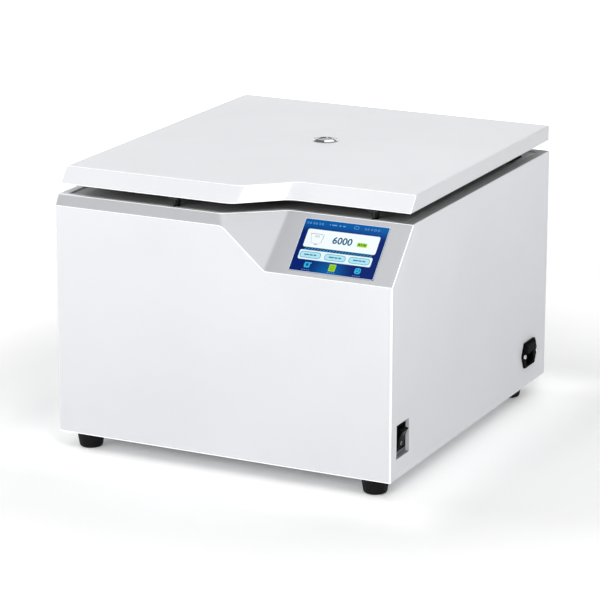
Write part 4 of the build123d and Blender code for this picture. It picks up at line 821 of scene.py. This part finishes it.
class MeshKit:
    """Collects faces of one mesh."""

    def __init__(self) -> None:
        """Starts an empty mesh."""
        self.bm = bmesh.new()

    def slab(self, outline: Sequence[Point], place: Place, low: float, high: float) -> None:
        """Adds a flat piece with straight sides.

        Args:
            outline: Corners on the place, counter-clockwise.
            place: Where the piece lies.
            low: Height of its back.
            high: Height of its front.
        """
        back = [self.bm.verts.new(place.at(u, v, low)) for u, v in outline]
        front = [self.bm.verts.new(place.at(u, v, high)) for u, v in outline]
        self.bm.faces.new(front)
        self.bm.faces.new(list(reversed(back)))
        count = len(outline)
        for k in range(count):
            j = (k + 1) % count
            self.bm.faces.new((back[k], back[j], front[j], front[k]))

    def band(
        self, outer: Sequence[Point], inner: Sequence[Point], place: Place, low: float, high: float
    ) -> None:
        """Adds a flat ring between two outlines.

        Args:
            outer: Corners of the outer one, counter-clockwise.
            inner: As many corners of the inner one.
            place: Where the ring lies.
            low: Height of its back.
            high: Height of its front.
        """
        levels = []
        for outline in (outer, inner):
            for height in (low, high):
                levels.append([self.bm.verts.new(place.at(u, v, height)) for u, v in outline])
        outer_low, outer_high, inner_low, inner_high = levels
        count = len(outer)
        for k in range(count):
            j = (k + 1) % count
            self.bm.faces.new((outer_high[k], outer_high[j], inner_high[j], inner_high[k]))
            self.bm.faces.new((outer_low[k], inner_low[k], inner_low[j], outer_low[j]))
            self.bm.faces.new((outer_low[k], outer_low[j], outer_high[j], outer_high[k]))
            self.bm.faces.new((inner_low[k], inner_high[k], inner_high[j], inner_low[j]))

    def mesh(self, name: str, smooth: float = 35.0, bevel: float = 0.0, segments: int = 2) -> bpy.types.Mesh:
        """Finishes the mesh.

        Args:
            name: Name of the mesh.
            smooth: Edges flatter than this many degrees are smooth.
            bevel: Width to which sharp edges are rounded, if any.
            segments: Faces across each rounded edge.

        Returns:
            The mesh.
        """
        bmesh.ops.remove_doubles(self.bm, verts=self.bm.verts, dist=1e-7)
        bmesh.ops.recalc_face_normals(self.bm, faces=self.bm.faces)
        if bevel:
            limit = math.radians(smooth)
            edges = [e for e in self.bm.edges if len(e.link_faces) == 2 and e.calc_face_angle() > limit]
            rounding = {"offset": bevel, "segments": segments, "profile": 0.5, "clamp_overlap": True}
            bmesh.ops.bevel(self.bm, geom=edges, affect="EDGES", **rounding)
        mesh = bpy.data.meshes.new(name)
        self.bm.to_mesh(mesh)
        self.bm.free()
        mesh.shade_smooth()
        mesh.set_sharp_from_angle(angle=math.radians(smooth))
        return mesh


def add_object(name: str, data: bpy.types.ID) -> bpy.types.Object:
    """Puts a mesh, a light or a camera in the scene.

    Args:
        name: Name of the object.
        data: What it shows or does.

    Returns:
        The new object.
    """
    made = bpy.data.objects.new(name, data)
    bpy.context.scene.collection.objects.link(made)
    return made


def add_piece(
    mesh: bpy.types.Mesh, finish: Finish, body: str, stands_for: Iterable[str] = ()
) -> None:
    """Puts a built mesh on the machine, under its own name.

    Args:
        mesh: The mesh, already in place.
        finish: What it is finished in.
        body: Body that it moves with.
        stands_for: CAD nodes that it is shown in place of.
    """
    piece = add_object(mesh.name, mesh)
    mesh.materials.append(finish.material())
    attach(piece, body)
    nodes = list(stands_for)
    if nodes:
        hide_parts(*nodes)
    LOG.info("piece %s on body %s", mesh.name, body)


def dress(finish: Finish, *nodes: str) -> None:
    """Gives CAD nodes a finish in place of the plain colour that they were packed with.

    Args:
        finish: The finish.
        *nodes: Names of the nodes.
    """
    for node in nodes:
        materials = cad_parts[node].data.materials
        materials.clear()
        materials.append(finish.material())
        LOG.info("node %s dressed in %s", node, finish.name)


CAPITAL_SHARE = 0.7  # height of a capital in the built-in font, over the font's size
STROKE_SHARE = 0.03  # how far each stroke is widened, over the height of a capital


def lettering(name: str, text: str, height: float, place: Place, thick: float) -> bpy.types.Mesh:
    """Makes raised characters.

    Args:
        name: Name of their mesh.
        text: What they say.
        height: Height of a capital.
        place: Where they stand, with the origin in their middle.
        thick: How far they stand out.

    Returns:
        Their mesh.
    """
    curve = bpy.data.curves.new("characters", "FONT")
    curve.body = text
    curve.align_x, curve.align_y = "CENTER", "CENTER"
    curve.size = height / CAPITAL_SHARE
    curve.extrude = thick / 2
    curve.resolution_u = 3
    curve.offset = height * STROKE_SHARE
    holder = bpy.data.objects.new("characters", curve)
    mesh = bpy.data.meshes.new_from_object(holder)
    bpy.data.objects.remove(holder)
    bpy.data.curves.remove(curve)
    spin = Matrix((place.right, place.up, place.out)).transposed().to_4x4()
    mesh.transform(Matrix.Translation(place.at(0, 0, thick / 2)) @ spin)
    mesh.materials.clear()
    mesh.name = name
    return mesh


# -------------------------------------------------------------------------------------------- the finishes
def sweep(first: Direction, last: Direction, steps: int) -> tuple[Direction, ...]:
    """Directions from one to another, both included, that a wide rounded fold passes through."""
    start, end = Vector(first).normalized(), Vector(last).normalized()
    return tuple(tuple(start.slerp(end, k / steps)) for k in range(steps + 1))


PANEL: Direction = (0.0, -0.728, 0.686)
BAND: Direction = (0.0, -0.866, 0.500)
FACET: Direction = (0.502, -0.647, 0.574)
LID_FRONT: Direction = (0.0, -0.771, 0.637)
LID_STEP: Direction = (0.45, -0.73, 0.51)
CASING_FLATS = SQUARE + sweep(BAND, FACET, 4) + sweep(PANEL, FACET, 4)
LID_FLATS = SQUARE + sweep(LID_FRONT, LID_STEP, 5)
CHAMBER_CENTRE: Point = (0.0, 0.0445)


@dataclass(frozen=True)
class Palette:
    """Every finish of the machine."""

    # Casing coat with painted fold highlights, painted light on facet and right of panel, painted shade
    # elsewhere.
    casing: Finish = PowderCoatAndPaintedLight(
        "casing_coat_and_painted_light",
        (0.795, 0.81, 0.84),
        0.45,
        flats=CASING_FLATS,
        tilted_colour=(0.485, 0.495, 0.515),
        facet_painted_light_colour=(0.62, 0.632, 0.655),
        sunk=(0.2195, 0.2230),
        fold_highlight_glow=0.32,
        hem_highlight_glow=0.9,
        shelf_shade_colour=(0.50, 0.505, 0.51),
    )
    # Lid coat with painted highlights on its folds and painted shade on its right side and left folds.
    lid: Finish = PowderCoatAndPaintedLight(
        "lid_coat_and_painted_light",
        (0.80, 0.815, 0.84),
        0.42,
        flats=LID_FLATS,
        fold_highlight_colour=(0.95, 0.95, 0.96),
        fold_highlight_glow=0.2,
        hem_highlight_glow=0.4,
        side_shade_share=0.93,
    )
    # Grey deck paint, kept darker as painted shade under the lid, with painted fold highlights.
    deck: Finish = PowderCoatAndPaintedLight("deck_coat_and_painted_light", (0.55, 0.555, 0.56), 0.5, fold_highlight_colour=(0.6, 0.6, 0.6))
    zinc: Finish = SheetMetal("zinc_plating", (0.62, 0.63, 0.65), 0.38, tone=(0.82, 1.18), grain=(1, 1, 1))
    stainless: Finish = TurnedMetal("spun_stainless", (0.66, 0.665, 0.67), 0.26, centre=CHAMBER_CENTRE)
    # Black armour paint with faint painted highlights on its folds.
    armour: Finish = PowderCoatAndPaintedLight("armour_paint", (0.10, 0.105, 0.11), 0.5, fold_highlight_colour=(0.14, 0.14, 0.15))
    seal: Finish = Rubber("seal_rubber_skin", (0.030, 0.030, 0.032), 0.6)
    foot: Finish = Rubber("foot_rubber_skin", (0.006, 0.006, 0.0065), 0.6)
    liner: Finish = Moulded("liner_plastic_skin", (0.020, 0.021, 0.023), 0.5)
    chrome: Finish = Polished("chrome_plating", (0.80, 0.81, 0.82), 0.06)
    plated: Finish = Polished("screw_plating", (0.74, 0.75, 0.76), 0.16)
    striker: Finish = SheetMetal("striker_steel", (0.045, 0.045, 0.047), 0.45, grain=(30, 30, 1))
    # Port plating with a painted dark reflection on its level faces.
    port: Finish = Polished("port_plating_and_painted_reflection", (0.55, 0.56, 0.57), 0.05, level_reflection_share=0.4)
    window: Finish = WindowGlass("window_pane", (0.30, 0.32, 0.33), 0.02)
    hinge: Finish = SheetMetal("hinge_steel_satin", (0.56, 0.57, 0.58), 0.3, grain=(1, 30, 30))
    bracket: Finish = SheetMetal("bracket_steel", (0.58, 0.585, 0.59), 0.33, grain=(30, 30, 1))
    gloss_black: Finish = Moulded("spring_enamel", (0.012, 0.012, 0.013), 0.18, relief=0.000004, grain=500.0)
    motor: Finish = Moulded("motor_enamel", (0.035, 0.035, 0.038), 0.45)
    casting: Finish = Anodised("machined_casting", (0.62, 0.63, 0.64), 0.34)
    rotor: Finish = Anodised("rotor_anodising", (0.23, 0.235, 0.25), 0.33)
    carrier: Finish = Anodised("carrier_anodising", (0.66, 0.67, 0.68), 0.32)
    shaft: Finish = TurnedMetal("ground_shaft", (0.60, 0.605, 0.61), 0.18, centre=CHAMBER_CENTRE)
    bearing: Finish = TurnedMetal("ground_bearing", (0.62, 0.625, 0.63), 0.15, centre=CHAMBER_CENTRE)
    black: Finish = Moulded("black_moulding", (0.004, 0.004, 0.0045), 0.5, gloss=0.01)
    drawer: Finish = Moulded("drawer_moulding", (0.014, 0.014, 0.015), 0.5, gloss=0.01)
    rocker: Finish = Moulded(
        "rocker_moulding", (0.003, 0.003, 0.0035), 0.35, relief=0.000006, grain=900.0, gloss=0.02
    )
    mark: Finish = Moulded("printed_mark", (0.72, 0.72, 0.72), 0.5)
    board: Finish = CircuitBoard("board_lacquer", (0.015, 0.11, 0.04), 0.35)
    pins: Finish = Polished("nickel_pins", (0.72, 0.70, 0.66), 0.2)
    sink: Finish = Anodised("black_heatsink", (0.04, 0.04, 0.043), 0.4)


PALETTE = Palette()


# ---------------------------------------------------------------------------------------- the sub-assemblies
@dataclass
class Assembly:
    """A sub-assembly of the machine, with what it is finished in."""

    finishes: Palette = PALETTE

    def build(self) -> None:
        """Builds and dresses the pieces."""
        raise NotImplementedError


@dataclass
class Casing(Assembly):
    """Folded casing, its rear cover, the deck and the bottom tray."""

    def build(self) -> None:
        """Dresses the sheets and their screws."""
        dress(self.finishes.casing, "housing_shell", "rear_panel")
        dress(self.finishes.deck, "top_deck")
        dress(self.finishes.zinc, "base_plate")
        dress(self.finishes.plated, "rear_screws", "foot_screws", "foot_nuts")
        dress(self.finishes.foot, "rubber_feet")


@dataclass
class Lid(Assembly):
    """Lid with its liner, its viewing port and the loops that lock it."""

    def build(self) -> None:
        """Dresses the lid's pieces."""
        dress(self.finishes.lid, "lid_cover")
        dress(self.finishes.liner, "lid_plate")
        dress(self.finishes.port, "port_bezel")
        dress(self.finishes.striker, "lid_strikers")
        dress(self.finishes.window, "port_glass")


@dataclass
class Hinges(Assembly):
    """The two hinges and the two gas springs that hold the lid up."""

    def build(self) -> None:
        """Dresses the hinges, the springs and their brackets."""
        dress(self.finishes.hinge, "hinge_fixed_leaves", "hinge_moving_leaves", "hinge_pins")
        dress(self.finishes.plated, "hinge_screws")
        dress(self.finishes.gloss_black, "gas_spring_tube_left", "gas_spring_tube_right")
        dress(self.finishes.chrome, "gas_spring_rod_left", "gas_spring_rod_right")
        dress(self.finishes.bracket, "gas_spring_lid_brackets", "gas_spring_base_brackets")


@dataclass
class Locks(Assembly):
    """The two powered lid locks under the deck."""

    def build(self) -> None:
        """Dresses the locks."""
        dress(self.finishes.bracket, "lock_housings", "lock_hook_left", "lock_hook_right", "lock_pins")
        dress(self.finishes.motor, "lock_motors")


@dataclass
class Chamber(Assembly):
    """Bowl, armour ring and seal."""

    def build(self) -> None:
        """Dresses the chamber."""
        dress(self.finishes.stainless, "chamber_bowl")
        dress(self.finishes.armour, "guard_ring")
        dress(self.finishes.seal, "chamber_seal", "shaft_boot")


@dataclass
class Rotor(Assembly):
    """Swing-out rotor with its two carriers."""

    def build(self) -> None:
        """Dresses the rotor."""
        dress(self.finishes.rotor, "rotor_yoke")
        dress(self.finishes.casting, "rotor_nut")
        dress(self.finishes.shaft, "trunnion_pins", "drive_shaft")
        dress(self.finishes.carrier, "plate_carrier_left", "plate_carrier_right")


@dataclass
class Drive(Assembly):
    """Motor on its plate and rubber mounts."""

    def build(self) -> None:
        """Dresses the drive."""
        dress(self.finishes.motor, "motor_body")
        dress(self.finishes.casting, "motor_plate")
        dress(self.finishes.bracket, "motor_posts", "imbalance_switch")
        dress(self.finishes.seal, "motor_dampers")
        dress(self.finishes.bearing, "lower_bearing", "upper_bearing")


class Ink(Enum):
    """Colours of the touch screen's picture."""

    WHITE = ScreenInk("ink_white", (0.68, 0.74, 0.78))
    PALE = ScreenInk("ink_pale", (0.58, 0.71, 0.76))
    PILL = ScreenInk("ink_pill", (0.32, 0.60, 0.70))
    CYAN = ScreenInk("ink_cyan", (0.03, 0.34, 0.60))
    OUTLINE = ScreenInk("ink_outline", (0.03, 0.14, 0.22))
    LIME = ScreenInk("ink_lime", (0.26, 0.50, 0.01))
    DARK_LIME = ScreenInk("ink_dark_lime", (0.04, 0.16, 0.01))
    TEAL = ScreenInk("ink_teal", (0.0, 0.080, 0.17))
    STRIPE = ScreenInk("ink_stripe", (0.02, 0.22, 0.36))
    GREY = ScreenInk("ink_grey", (0.30, 0.31, 0.33))
    SKY = ScreenInk("ink_sky", (0.10, 0.26, 0.50))


@dataclass(frozen=True)
class Patch:
    """Patch of the screen's picture, with round corners of a few flat steps.

    Where line is set, the patch is only an outline that wide. Lengths are millimetres, and x and y go right
    and up from the middle of what the patch belongs to.
    """

    ink: Ink
    x: float
    y: float
    wide: float
    tall: float
    corner: float = 0.2
    layer: int = 1
    line: float = 0.0
    steps: int = 4


def hoop(ink: Ink, x: float, y: float, wide: float, tall: float, line: float, layer: int = 1) -> Patch:
    """Outline of a patch with round ends."""
    return Patch(ink, x, y, wide, tall, 0.42 * tall, layer, line, steps=6)


@dataclass
class TouchScreen(Assembly):
    """Touch screen with its picture: a reading, three buttons and three symbols.

    Places on the picture are millimetres to the right of and above its middle.
    """

    layer: float = 0.00006
    edge: Patch = Patch(Ink.WHITE, 0.0, 0.0, 109.9, 71.3, 2.0, line=0.5)
    bright_foot: Point = (-4.0, -34.0)
    card: Patch = Patch(Ink.WHITE, 0.0, 9.7, 94.0, 24.5, 2.4)
    sketch_centre: Point = (-33.0, 9.7)
    sketch: tuple[Patch, ...] = (
        Patch(Ink.GREY, -1.0, 6.2, 16.0, 0.7, layer=2),
        Patch(Ink.GREY, 8.4, 2.6, 0.8, 7.4, layer=2),
        Patch(Ink.GREY, 0.6, 3.0, 5.4, 2.4, 0.8, 2),
        Patch(Ink.WHITE, 0.6, 3.0, 3.6, 1.2, 0.4, 3),
        *(Patch(Ink.GREY, -8.0 + 0.6 * k, 4.6 - 1.9 * k, 0.7, 1.0, layer=2) for k in range(6)),
        *(Patch(Ink.GREY, -5.0 + 2.2 * k, -6.6, 1.1, 0.6, layer=2) for k in range(6)),
        Patch(Ink.GREY, 1.4, -8.0, 4.2, 1.1, 0.4, 2),
        Patch(Ink.GREY, 7.6, -3.4, 0.6, 4.4, layer=2),
    )
    tag: tuple[Patch, ...] = (
        Patch(Ink.LIME, 27.0, 8.2, 12.6, 5.4, 0.3, 2),
        Patch(Ink.DARK_LIME, 23.2, 8.4, 2.6, 2.2, layer=3),
        Patch(Ink.DARK_LIME, 26.4, 8.4, 1.6, 2.2, layer=3),
        Patch(Ink.DARK_LIME, 30.4, 8.4, 3.2, 2.2, layer=3),
    )
    digits: str = "6000"
    digits_centre: Point = (1.0, 9.6)
    digits_height: float = 9.0
    stripe_start: Point = (-42.0, -4.6)
    stripe_size: Point = (2.0, 2.4)
    stripe_pitch: float = 4.0
    stripe_count: int = 22
    strip: Patch = Patch(Ink.PALE, -1.2, -12.95, 94.4, 12.8, 2.2)
    button_places: tuple[float, ...] = (-33.4, -1.2, 30.1)
    button: tuple[Patch, ...] = (
        Patch(Ink.PILL, 0.0, 0.0, 27.0, 8.4, 3.4, 2),
        hoop(Ink.OUTLINE, 0.0, 0.0, 27.0, 8.4, 0.55, 3),
        Patch(Ink.OUTLINE, -4.7, 0.2, 6.6, 1.6, 0.4, 3),
        Patch(Ink.OUTLINE, 1.2, 0.2, 4.0, 1.6, 0.4, 3),
        Patch(Ink.OUTLINE, 6.0, 0.2, 3.6, 1.6, 0.4, 3),
    )
    symbols: tuple[Patch, ...] = (
        Patch(Ink.CYAN, -33.2, -26.2, 7.4, 7.4, 1.6),
        Patch(Ink.TEAL, -33.2, -26.0, 3.4, 3.6, 0.6, 2),
        Patch(Ink.CYAN, -29.6, -23.4, 3.0, 1.6, 0.4),
        Patch(Ink.LIME, -0.5, -26.3, 8.6, 9.2, 0.6),
        hoop(Ink.DARK_LIME, -0.5, -25.6, 5.0, 3.8, 0.5, 2),
        Patch(Ink.DARK_LIME, -0.5, -29.0, 4.8, 0.6, layer=2),
        Patch(Ink.CYAN, 32.3, -26.2, 7.8, 7.8, 2.4),
        Patch(Ink.TEAL, 31.0, -24.6, 2.6, 1.2, 0.4, 2),
        Patch(Ink.TEAL, 34.2, -25.4, 1.0, 3.2, 0.3, 2),
        Patch(Ink.TEAL, 32.0, -28.2, 3.0, 1.4, 0.4, 2),
    )
    caption_places: tuple[float, ...] = (-33.2, -0.5, 32.3)
    caption: tuple[Patch, ...] = tuple(Patch(Ink.SKY, x, -32.8, 1.7, 0.8) for x in (-4.2, -1.4, 1.4, 4.2))
    header: tuple[Patch, ...] = (
        *(hoop(Ink.SKY, x, 29.6, 2.2, 3.0, 0.5) for x in (-50.0, -46.6, -42.2, -38.8, -34.4, -31.0)),
        Patch(Ink.SKY, -21.3, 30.0, 1.4, 1.5, 0.4),
        Patch(Ink.SKY, -15.7, 30.0, 6.6, 1.5, 0.4),
        Patch(Ink.SKY, -8.3, 30.0, 2.6, 1.5, 0.4),
        Patch(Ink.SKY, -3.0, 30.0, 3.2, 1.5, 0.4),
        hoop(Ink.SKY, 13.0, 30.2, 6.4, 4.2, 0.6),
        hoop(Ink.SKY, 25.1, 30.0, 2.2, 2.8, 0.5),
        hoop(Ink.SKY, 28.4, 30.0, 2.0, 2.8, 0.5),
        hoop(Ink.SKY, 32.9, 30.0, 1.8, 2.8, 0.5),
        hoop(Ink.SKY, 37.2, 30.0, 3.6, 2.8, 0.5),
        hoop(Ink.SKY, 41.9, 30.0, 2.6, 2.8, 0.5),
    )
    kits: dict[Ink, MeshKit] = field(default_factory=dict)
    place: Place = field(init=False)

    def build(self) -> None:
        """Dresses the glass and lays the picture on it."""
        self.place = face_place("touch_screen", Vector((0, -0.75, 0.66)), Vector((1, 0, 0)))
        x, y = self.bright_foot
        foot, up = tuple(self.place.at(x * MM, y * MM)), tuple(self.place.up)
        dress(LitScreen("screen_field", (0.0, 0.012, 0.125), 0.15, foot=foot, up=up), "touch_screen")
        dress(self.finishes.black, "display_module")
        dress(self.finishes.board, "control_board")
        self.lay(self.edge, self.card)
        self.lay(*self.sketch, shift=self.sketch_centre)
        self.lay(*self.tag)
        self.lay_stripes()
        self.lay(self.strip)
        for x in self.button_places:
            self.lay(*self.button, shift=(x, self.strip.y))
        self.lay(*self.symbols)
        for x in self.caption_places:
            self.lay(*self.caption, shift=(x, 0.0))
        self.lay(*self.header)
        for ink, kit in self.kits.items():
            add_piece(kit.mesh("picture_" + ink.name.lower()), ink.value, "base")
        self.lay_digits()

    def kit(self, ink: Ink) -> MeshKit:
        """The mesh that collects what is drawn in one ink."""
        return self.kits.setdefault(ink, MeshKit())

    def lay(self, *patches: Patch, shift: Point = (0.0, 0.0)) -> None:
        """Lays patches of the picture.

        Args:
            *patches: The patches.
            shift: How far right and up they are moved, in millimetres.
        """
        for patch in patches:
            place = self.place.moved((patch.x + shift[0]) * MM, (patch.y + shift[1]) * MM)
            low, high = self.layer * (patch.layer - 1), self.layer * patch.layer
            wide, tall, corner, line = (
                length * MM for length in (patch.wide, patch.tall, patch.corner, patch.line)
            )
            outline = rounded(wide, tall, corner, patch.steps)
            if line:
                inner = rounded(wide - 2 * line, tall - 2 * line, corner - line, patch.steps)
                self.kit(patch.ink).band(outline, inner, place, low, high)
            else:
                self.kit(patch.ink).slab(outline, place, low, high)

    def lay_stripes(self) -> None:
        """Lays the row of slanting stripes under the card."""
        half, rise = (side * MM / 2 for side in self.stripe_size)
        outline = [(-half - rise, -rise), (half - rise, -rise), (half + rise, rise), (-half + rise, rise)]
        x, y = self.stripe_start
        for k in range(self.stripe_count):
            place = self.place.moved((x + self.stripe_pitch * k) * MM, y * MM)
            self.kit(Ink.STRIPE).slab(outline, place, 0.0, self.layer)

    def lay_digits(self) -> None:
        """Lays the reading."""
        x, y = self.digits_centre
        place = self.place.moved(x * MM, y * MM, self.layer)
        mesh = lettering("picture_reading", self.digits, self.digits_height * MM, place, self.layer)
        add_piece(mesh, Ink.TEAL.value, "base")


@dataclass
class PowerSwitch(Assembly):
    """Rocker switch sunk into the right side, with its lower wing pressed in."""

    half: float = 0.0116
    width: float = 0.018
    crown: float = 0.0024
    tilt: float = 15.0
    face_depth: float = 0.002
    axis_depth: float = 0.001
    hollow: float = 0.0003
    belly: float = 0.0014
    keel: tuple[Point, ...] = ((1.0, -0.001), (0.6, -0.004), (-0.6, -0.004), (-1.0, -0.001))
    edge_round: float = 0.0005
    steps: int = 14
    ring_radius: float = 0.0021
    ring_line: float = 0.0005
    ring_turn: float = 345.0
    bar_length: float = 0.0044
    mark_place: float = 0.0066
    mark_reach: float = 0.0005
    mark_sunk: float = 0.0001
    mark_proud: float = 0.00005
    axis: Vector = field(init=False)

    def build(self) -> None:
        """Dresses the switch's body and builds the rocker with its two marks."""
        dress(self.finishes.black, "switch_body")
        low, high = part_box("switch_body")
        middle = (low + high) / 2
        self.axis = Vector((high.x - self.face_depth - self.axis_depth, middle.y, middle.z))
        self.build_rocker()
        self.build_marks()

    def height(self, along: float) -> float:
        """Finds the rocker's face before it tilts.

        Args:
            along: Distance from the middle along the wings.

        Returns:
            How far out from the rocker's axis the face is there.
        """
        share = abs(along) / self.half
        wing = self.axis_depth + self.crown + abs(along) * math.tan(math.radians(self.tilt))
        return wing + self.belly * (1 - share) - self.hollow * math.sin(math.pi * share)

    def spot(self, across: float, along: float, lift: float) -> Vector:
        """Finds a point of the tilted rocker.

        Args:
            across: Distance from its middle along the machine.
            along: Distance from its middle along the wings.
            lift: Distance out from its axis before it tilts.

        Returns:
            The point.
        """
        turn = math.radians(self.tilt)
        up = along * math.cos(turn) - lift * math.sin(turn)
        out = lift * math.cos(turn) + along * math.sin(turn)
        return self.axis + Vector((out, across, up))

    def build_rocker(self) -> None:
        """Builds the rocker with its two wings."""
        stations = [self.half * (2 * k / self.steps - 1) for k in range(self.steps + 1)]
        profile = [(along, self.height(along)) for along in stations]
        profile += [(self.half * share, depth) for share, depth in self.keel]
        kit = MeshKit()
        near, far = (
            [kit.bm.verts.new(self.spot(across, along, lift)) for along, lift in profile]
            for across in (-self.width / 2, self.width / 2)
        )
        kit.bm.faces.new(near)
        kit.bm.faces.new(list(reversed(far)))
        count = len(profile)
        for k in range(count):
            j = (k + 1) % count
            kit.bm.faces.new((near[k], far[k], far[j], near[j]))
        mesh = kit.mesh("rocker", smooth=28.0, bevel=self.edge_round, segments=3)
        add_piece(mesh, self.finishes.rocker, "power_rocker", ["switch_rocker"])

    def mark_on(self, along: float) -> Place:
        """Finds the place of a mark.

        Args:
            along: Distance from the middle along the wings.

        Returns:
            The place on the rocker's face.
        """
        foot, top = (
            self.spot(0, end, self.height(end)) for end in (along - self.mark_reach, along + self.mark_reach)
        )
        return Place((foot + top) / 2, Vector((0, 1, 0)), (top - foot).normalized())

    def build_marks(self) -> None:
        """Builds the open ring on the lower wing and the bar on the upper one."""
        kit = MeshKit()
        outer, inner = (
            arc((0, 0), radius, 0, self.ring_turn, 23)
            for radius in (self.ring_radius, self.ring_radius - self.ring_line)
        )
        kit.band(outer, inner, self.mark_on(-self.mark_place), -self.mark_sunk, self.mark_proud)
        bar = rounded(self.ring_line, self.bar_length, self.ring_line * 0.4, 2)
        kit.slab(bar, self.mark_on(self.mark_place), -self.mark_sunk, self.mark_proud)
        add_piece(kit.mesh("rocker_marks"), self.finishes.mark, "power_rocker")


@dataclass
class MainsInlet(Assembly):
    """Mains inlet with its fuse drawer."""

    def build(self) -> None:
        """Dresses the inlet."""
        dress(self.finishes.black, "inlet_body")
        dress(self.finishes.drawer, "fuse_drawer")
        dress(self.finishes.pins, "inlet_pins")
        dress(self.finishes.plated, "inlet_screws")


@dataclass
class Cooling(Assembly):
    """Fan behind the rear grille."""

    def build(self) -> None:
        """Dresses the fan."""
        dress(self.finishes.black, "fan_frame", "fan_blades")


@dataclass
class Electronics(Assembly):
    """Drive board, heatsink and mains filter."""

    def build(self) -> None:
        """Dresses the electronics."""
        dress(self.finishes.board, "drive_board")
        dress(self.finishes.sink, "drive_heatsink")
        dress(self.finishes.zinc, "mains_filter")


# ------------------------------------------------------------------------------------------------ the studio
@dataclass(frozen=True)
class SoftBox:
    """A rectangular light aimed at the machine."""

    name: str
    azimuth: float
    elevation: float
    distance: float
    size: Point
    power: float

    def build(self, target: Vector) -> None:
        """Hangs the light.

        Args:
            target: What it is aimed at.
        """
        lamp = bpy.data.lights.new(self.name, "AREA")
        lamp.shape = "RECTANGLE"
        lamp.size, lamp.size_y = self.size
        lamp.energy = self.power
        holder = add_object(self.name, lamp)
        away = direction(self.azimuth, self.elevation)
        holder.location = target + away * self.distance
        holder.rotation_euler = away.to_track_quat("Z", "Y").to_euler()
        LOG.info("light %s", self.name)


@dataclass
class Studio:
    """Pale floor, even surround, soft boxes and the camera."""

    floor_half: float = 20.0
    floor_drop: float = 0.0001
    floor_colour: Colour = (0.93, 0.93, 0.93)
    surround: float = 0.24
    target: Direction = (-0.02197, 0.0, 0.15418)
    azimuth: float = 26.15
    elevation: float = 15.81
    roll: float = 0.09
    distance: float = 3.68283
    focal_pixels: float = 2879.76
    picture: float = 600.0
    centre_x: float = 294.18
    sensor: float = 36.0
    clip: Span = (0.1, 100.0)
    lights: tuple[SoftBox, ...] = (
        SoftBox("front_box", -10.0, 20.0, 3.0, (1.6, 1.0), 17.4),
        SoftBox("left_box", -90.0, 30.0, 2.8, (1.4, 1.2), 19.9),
        SoftBox("back_box", 180.0, 50.0, 2.8, (1.6, 1.4), 12.5),
        SoftBox("right_box", 45.0, 45.0, 2.8, (1.2, 1.2), 26.5),
        SoftBox("top_box", 0.0, 85.0, 2.6, (2.0, 2.0), 13.0),
        SoftBox("far_card", 206.0, 16.5, 3.0, (2.4, 0.9), 7.0),
    )

    def build(self) -> None:
        """Builds the floor, the surround, the lights and the camera."""
        self.build_floor()
        self.build_surround()
        for light in self.lights:
            light.build(Vector(self.target))
        self.build_camera()
        bpy.context.scene.view_settings.view_transform = "Standard"
        bpy.context.scene.view_settings.look = "None"

    def build_floor(self) -> None:
        """Lays the floor under the feet."""
        kit = MeshKit()
        half = self.floor_half
        corners = ((-half, -half), (half, -half), (half, half), (-half, half))
        kit.bm.faces.new([kit.bm.verts.new((x, y, -self.floor_drop)) for x, y in corners])
        mesh = kit.mesh("studio_floor")
        floor = add_object("studio_floor", mesh)
        mesh.materials.append(PaleFloor("floor_paint_and_shadow_lift", self.floor_colour, 0.9).material())

    def build_surround(self) -> None:
        """Lights the room evenly from all round."""
        world = bpy.data.worlds.new("surround")
        bpy.context.scene.world = world
        world.use_nodes = True
        background = world.node_tree.nodes["Background"]
        background.inputs["Color"].default_value = (1.0, 1.0, 1.0, 1.0)
        background.inputs["Strength"].default_value = self.surround

    def build_camera(self) -> None:
        """Stands the camera in front and to the right, looking slightly down."""
        data = bpy.data.cameras.new("camera")
        camera = add_object("camera", data)
        away = direction(self.azimuth, self.elevation)
        camera.location = Vector(self.target) + away * self.distance
        look = away.to_track_quat("Z", "Y").to_matrix()
        camera.rotation_euler = (look @ Matrix.Rotation(math.radians(self.roll), 3, "Z")).to_euler()
        data.sensor_width = self.sensor
        data.lens = self.focal_pixels / self.picture * data.sensor_width
        data.shift_x = (self.picture / 2 - self.centre_x) / self.picture
        data.clip_start, data.clip_end = self.clip
        bpy.context.scene.camera = camera


def main() -> None:
    """Builds every sub-assembly and the studio."""
    logging.basicConfig(level=logging.INFO, format="%(message)s")
    assemblies = (
        Casing(),
        Lid(),
        Hinges(),
        Locks(),
        Chamber(),
        Rotor(),
        Drive(),
        TouchScreen(),
        PowerSwitch(),
        MainsInlet(),
        Cooling(),
        Electronics(),
    )
    for assembly in assemblies:
        LOG.info("building %s", type(assembly).__name__)
        assembly.build()
    Studio().build()


if __name__ == "__main__":
    main()
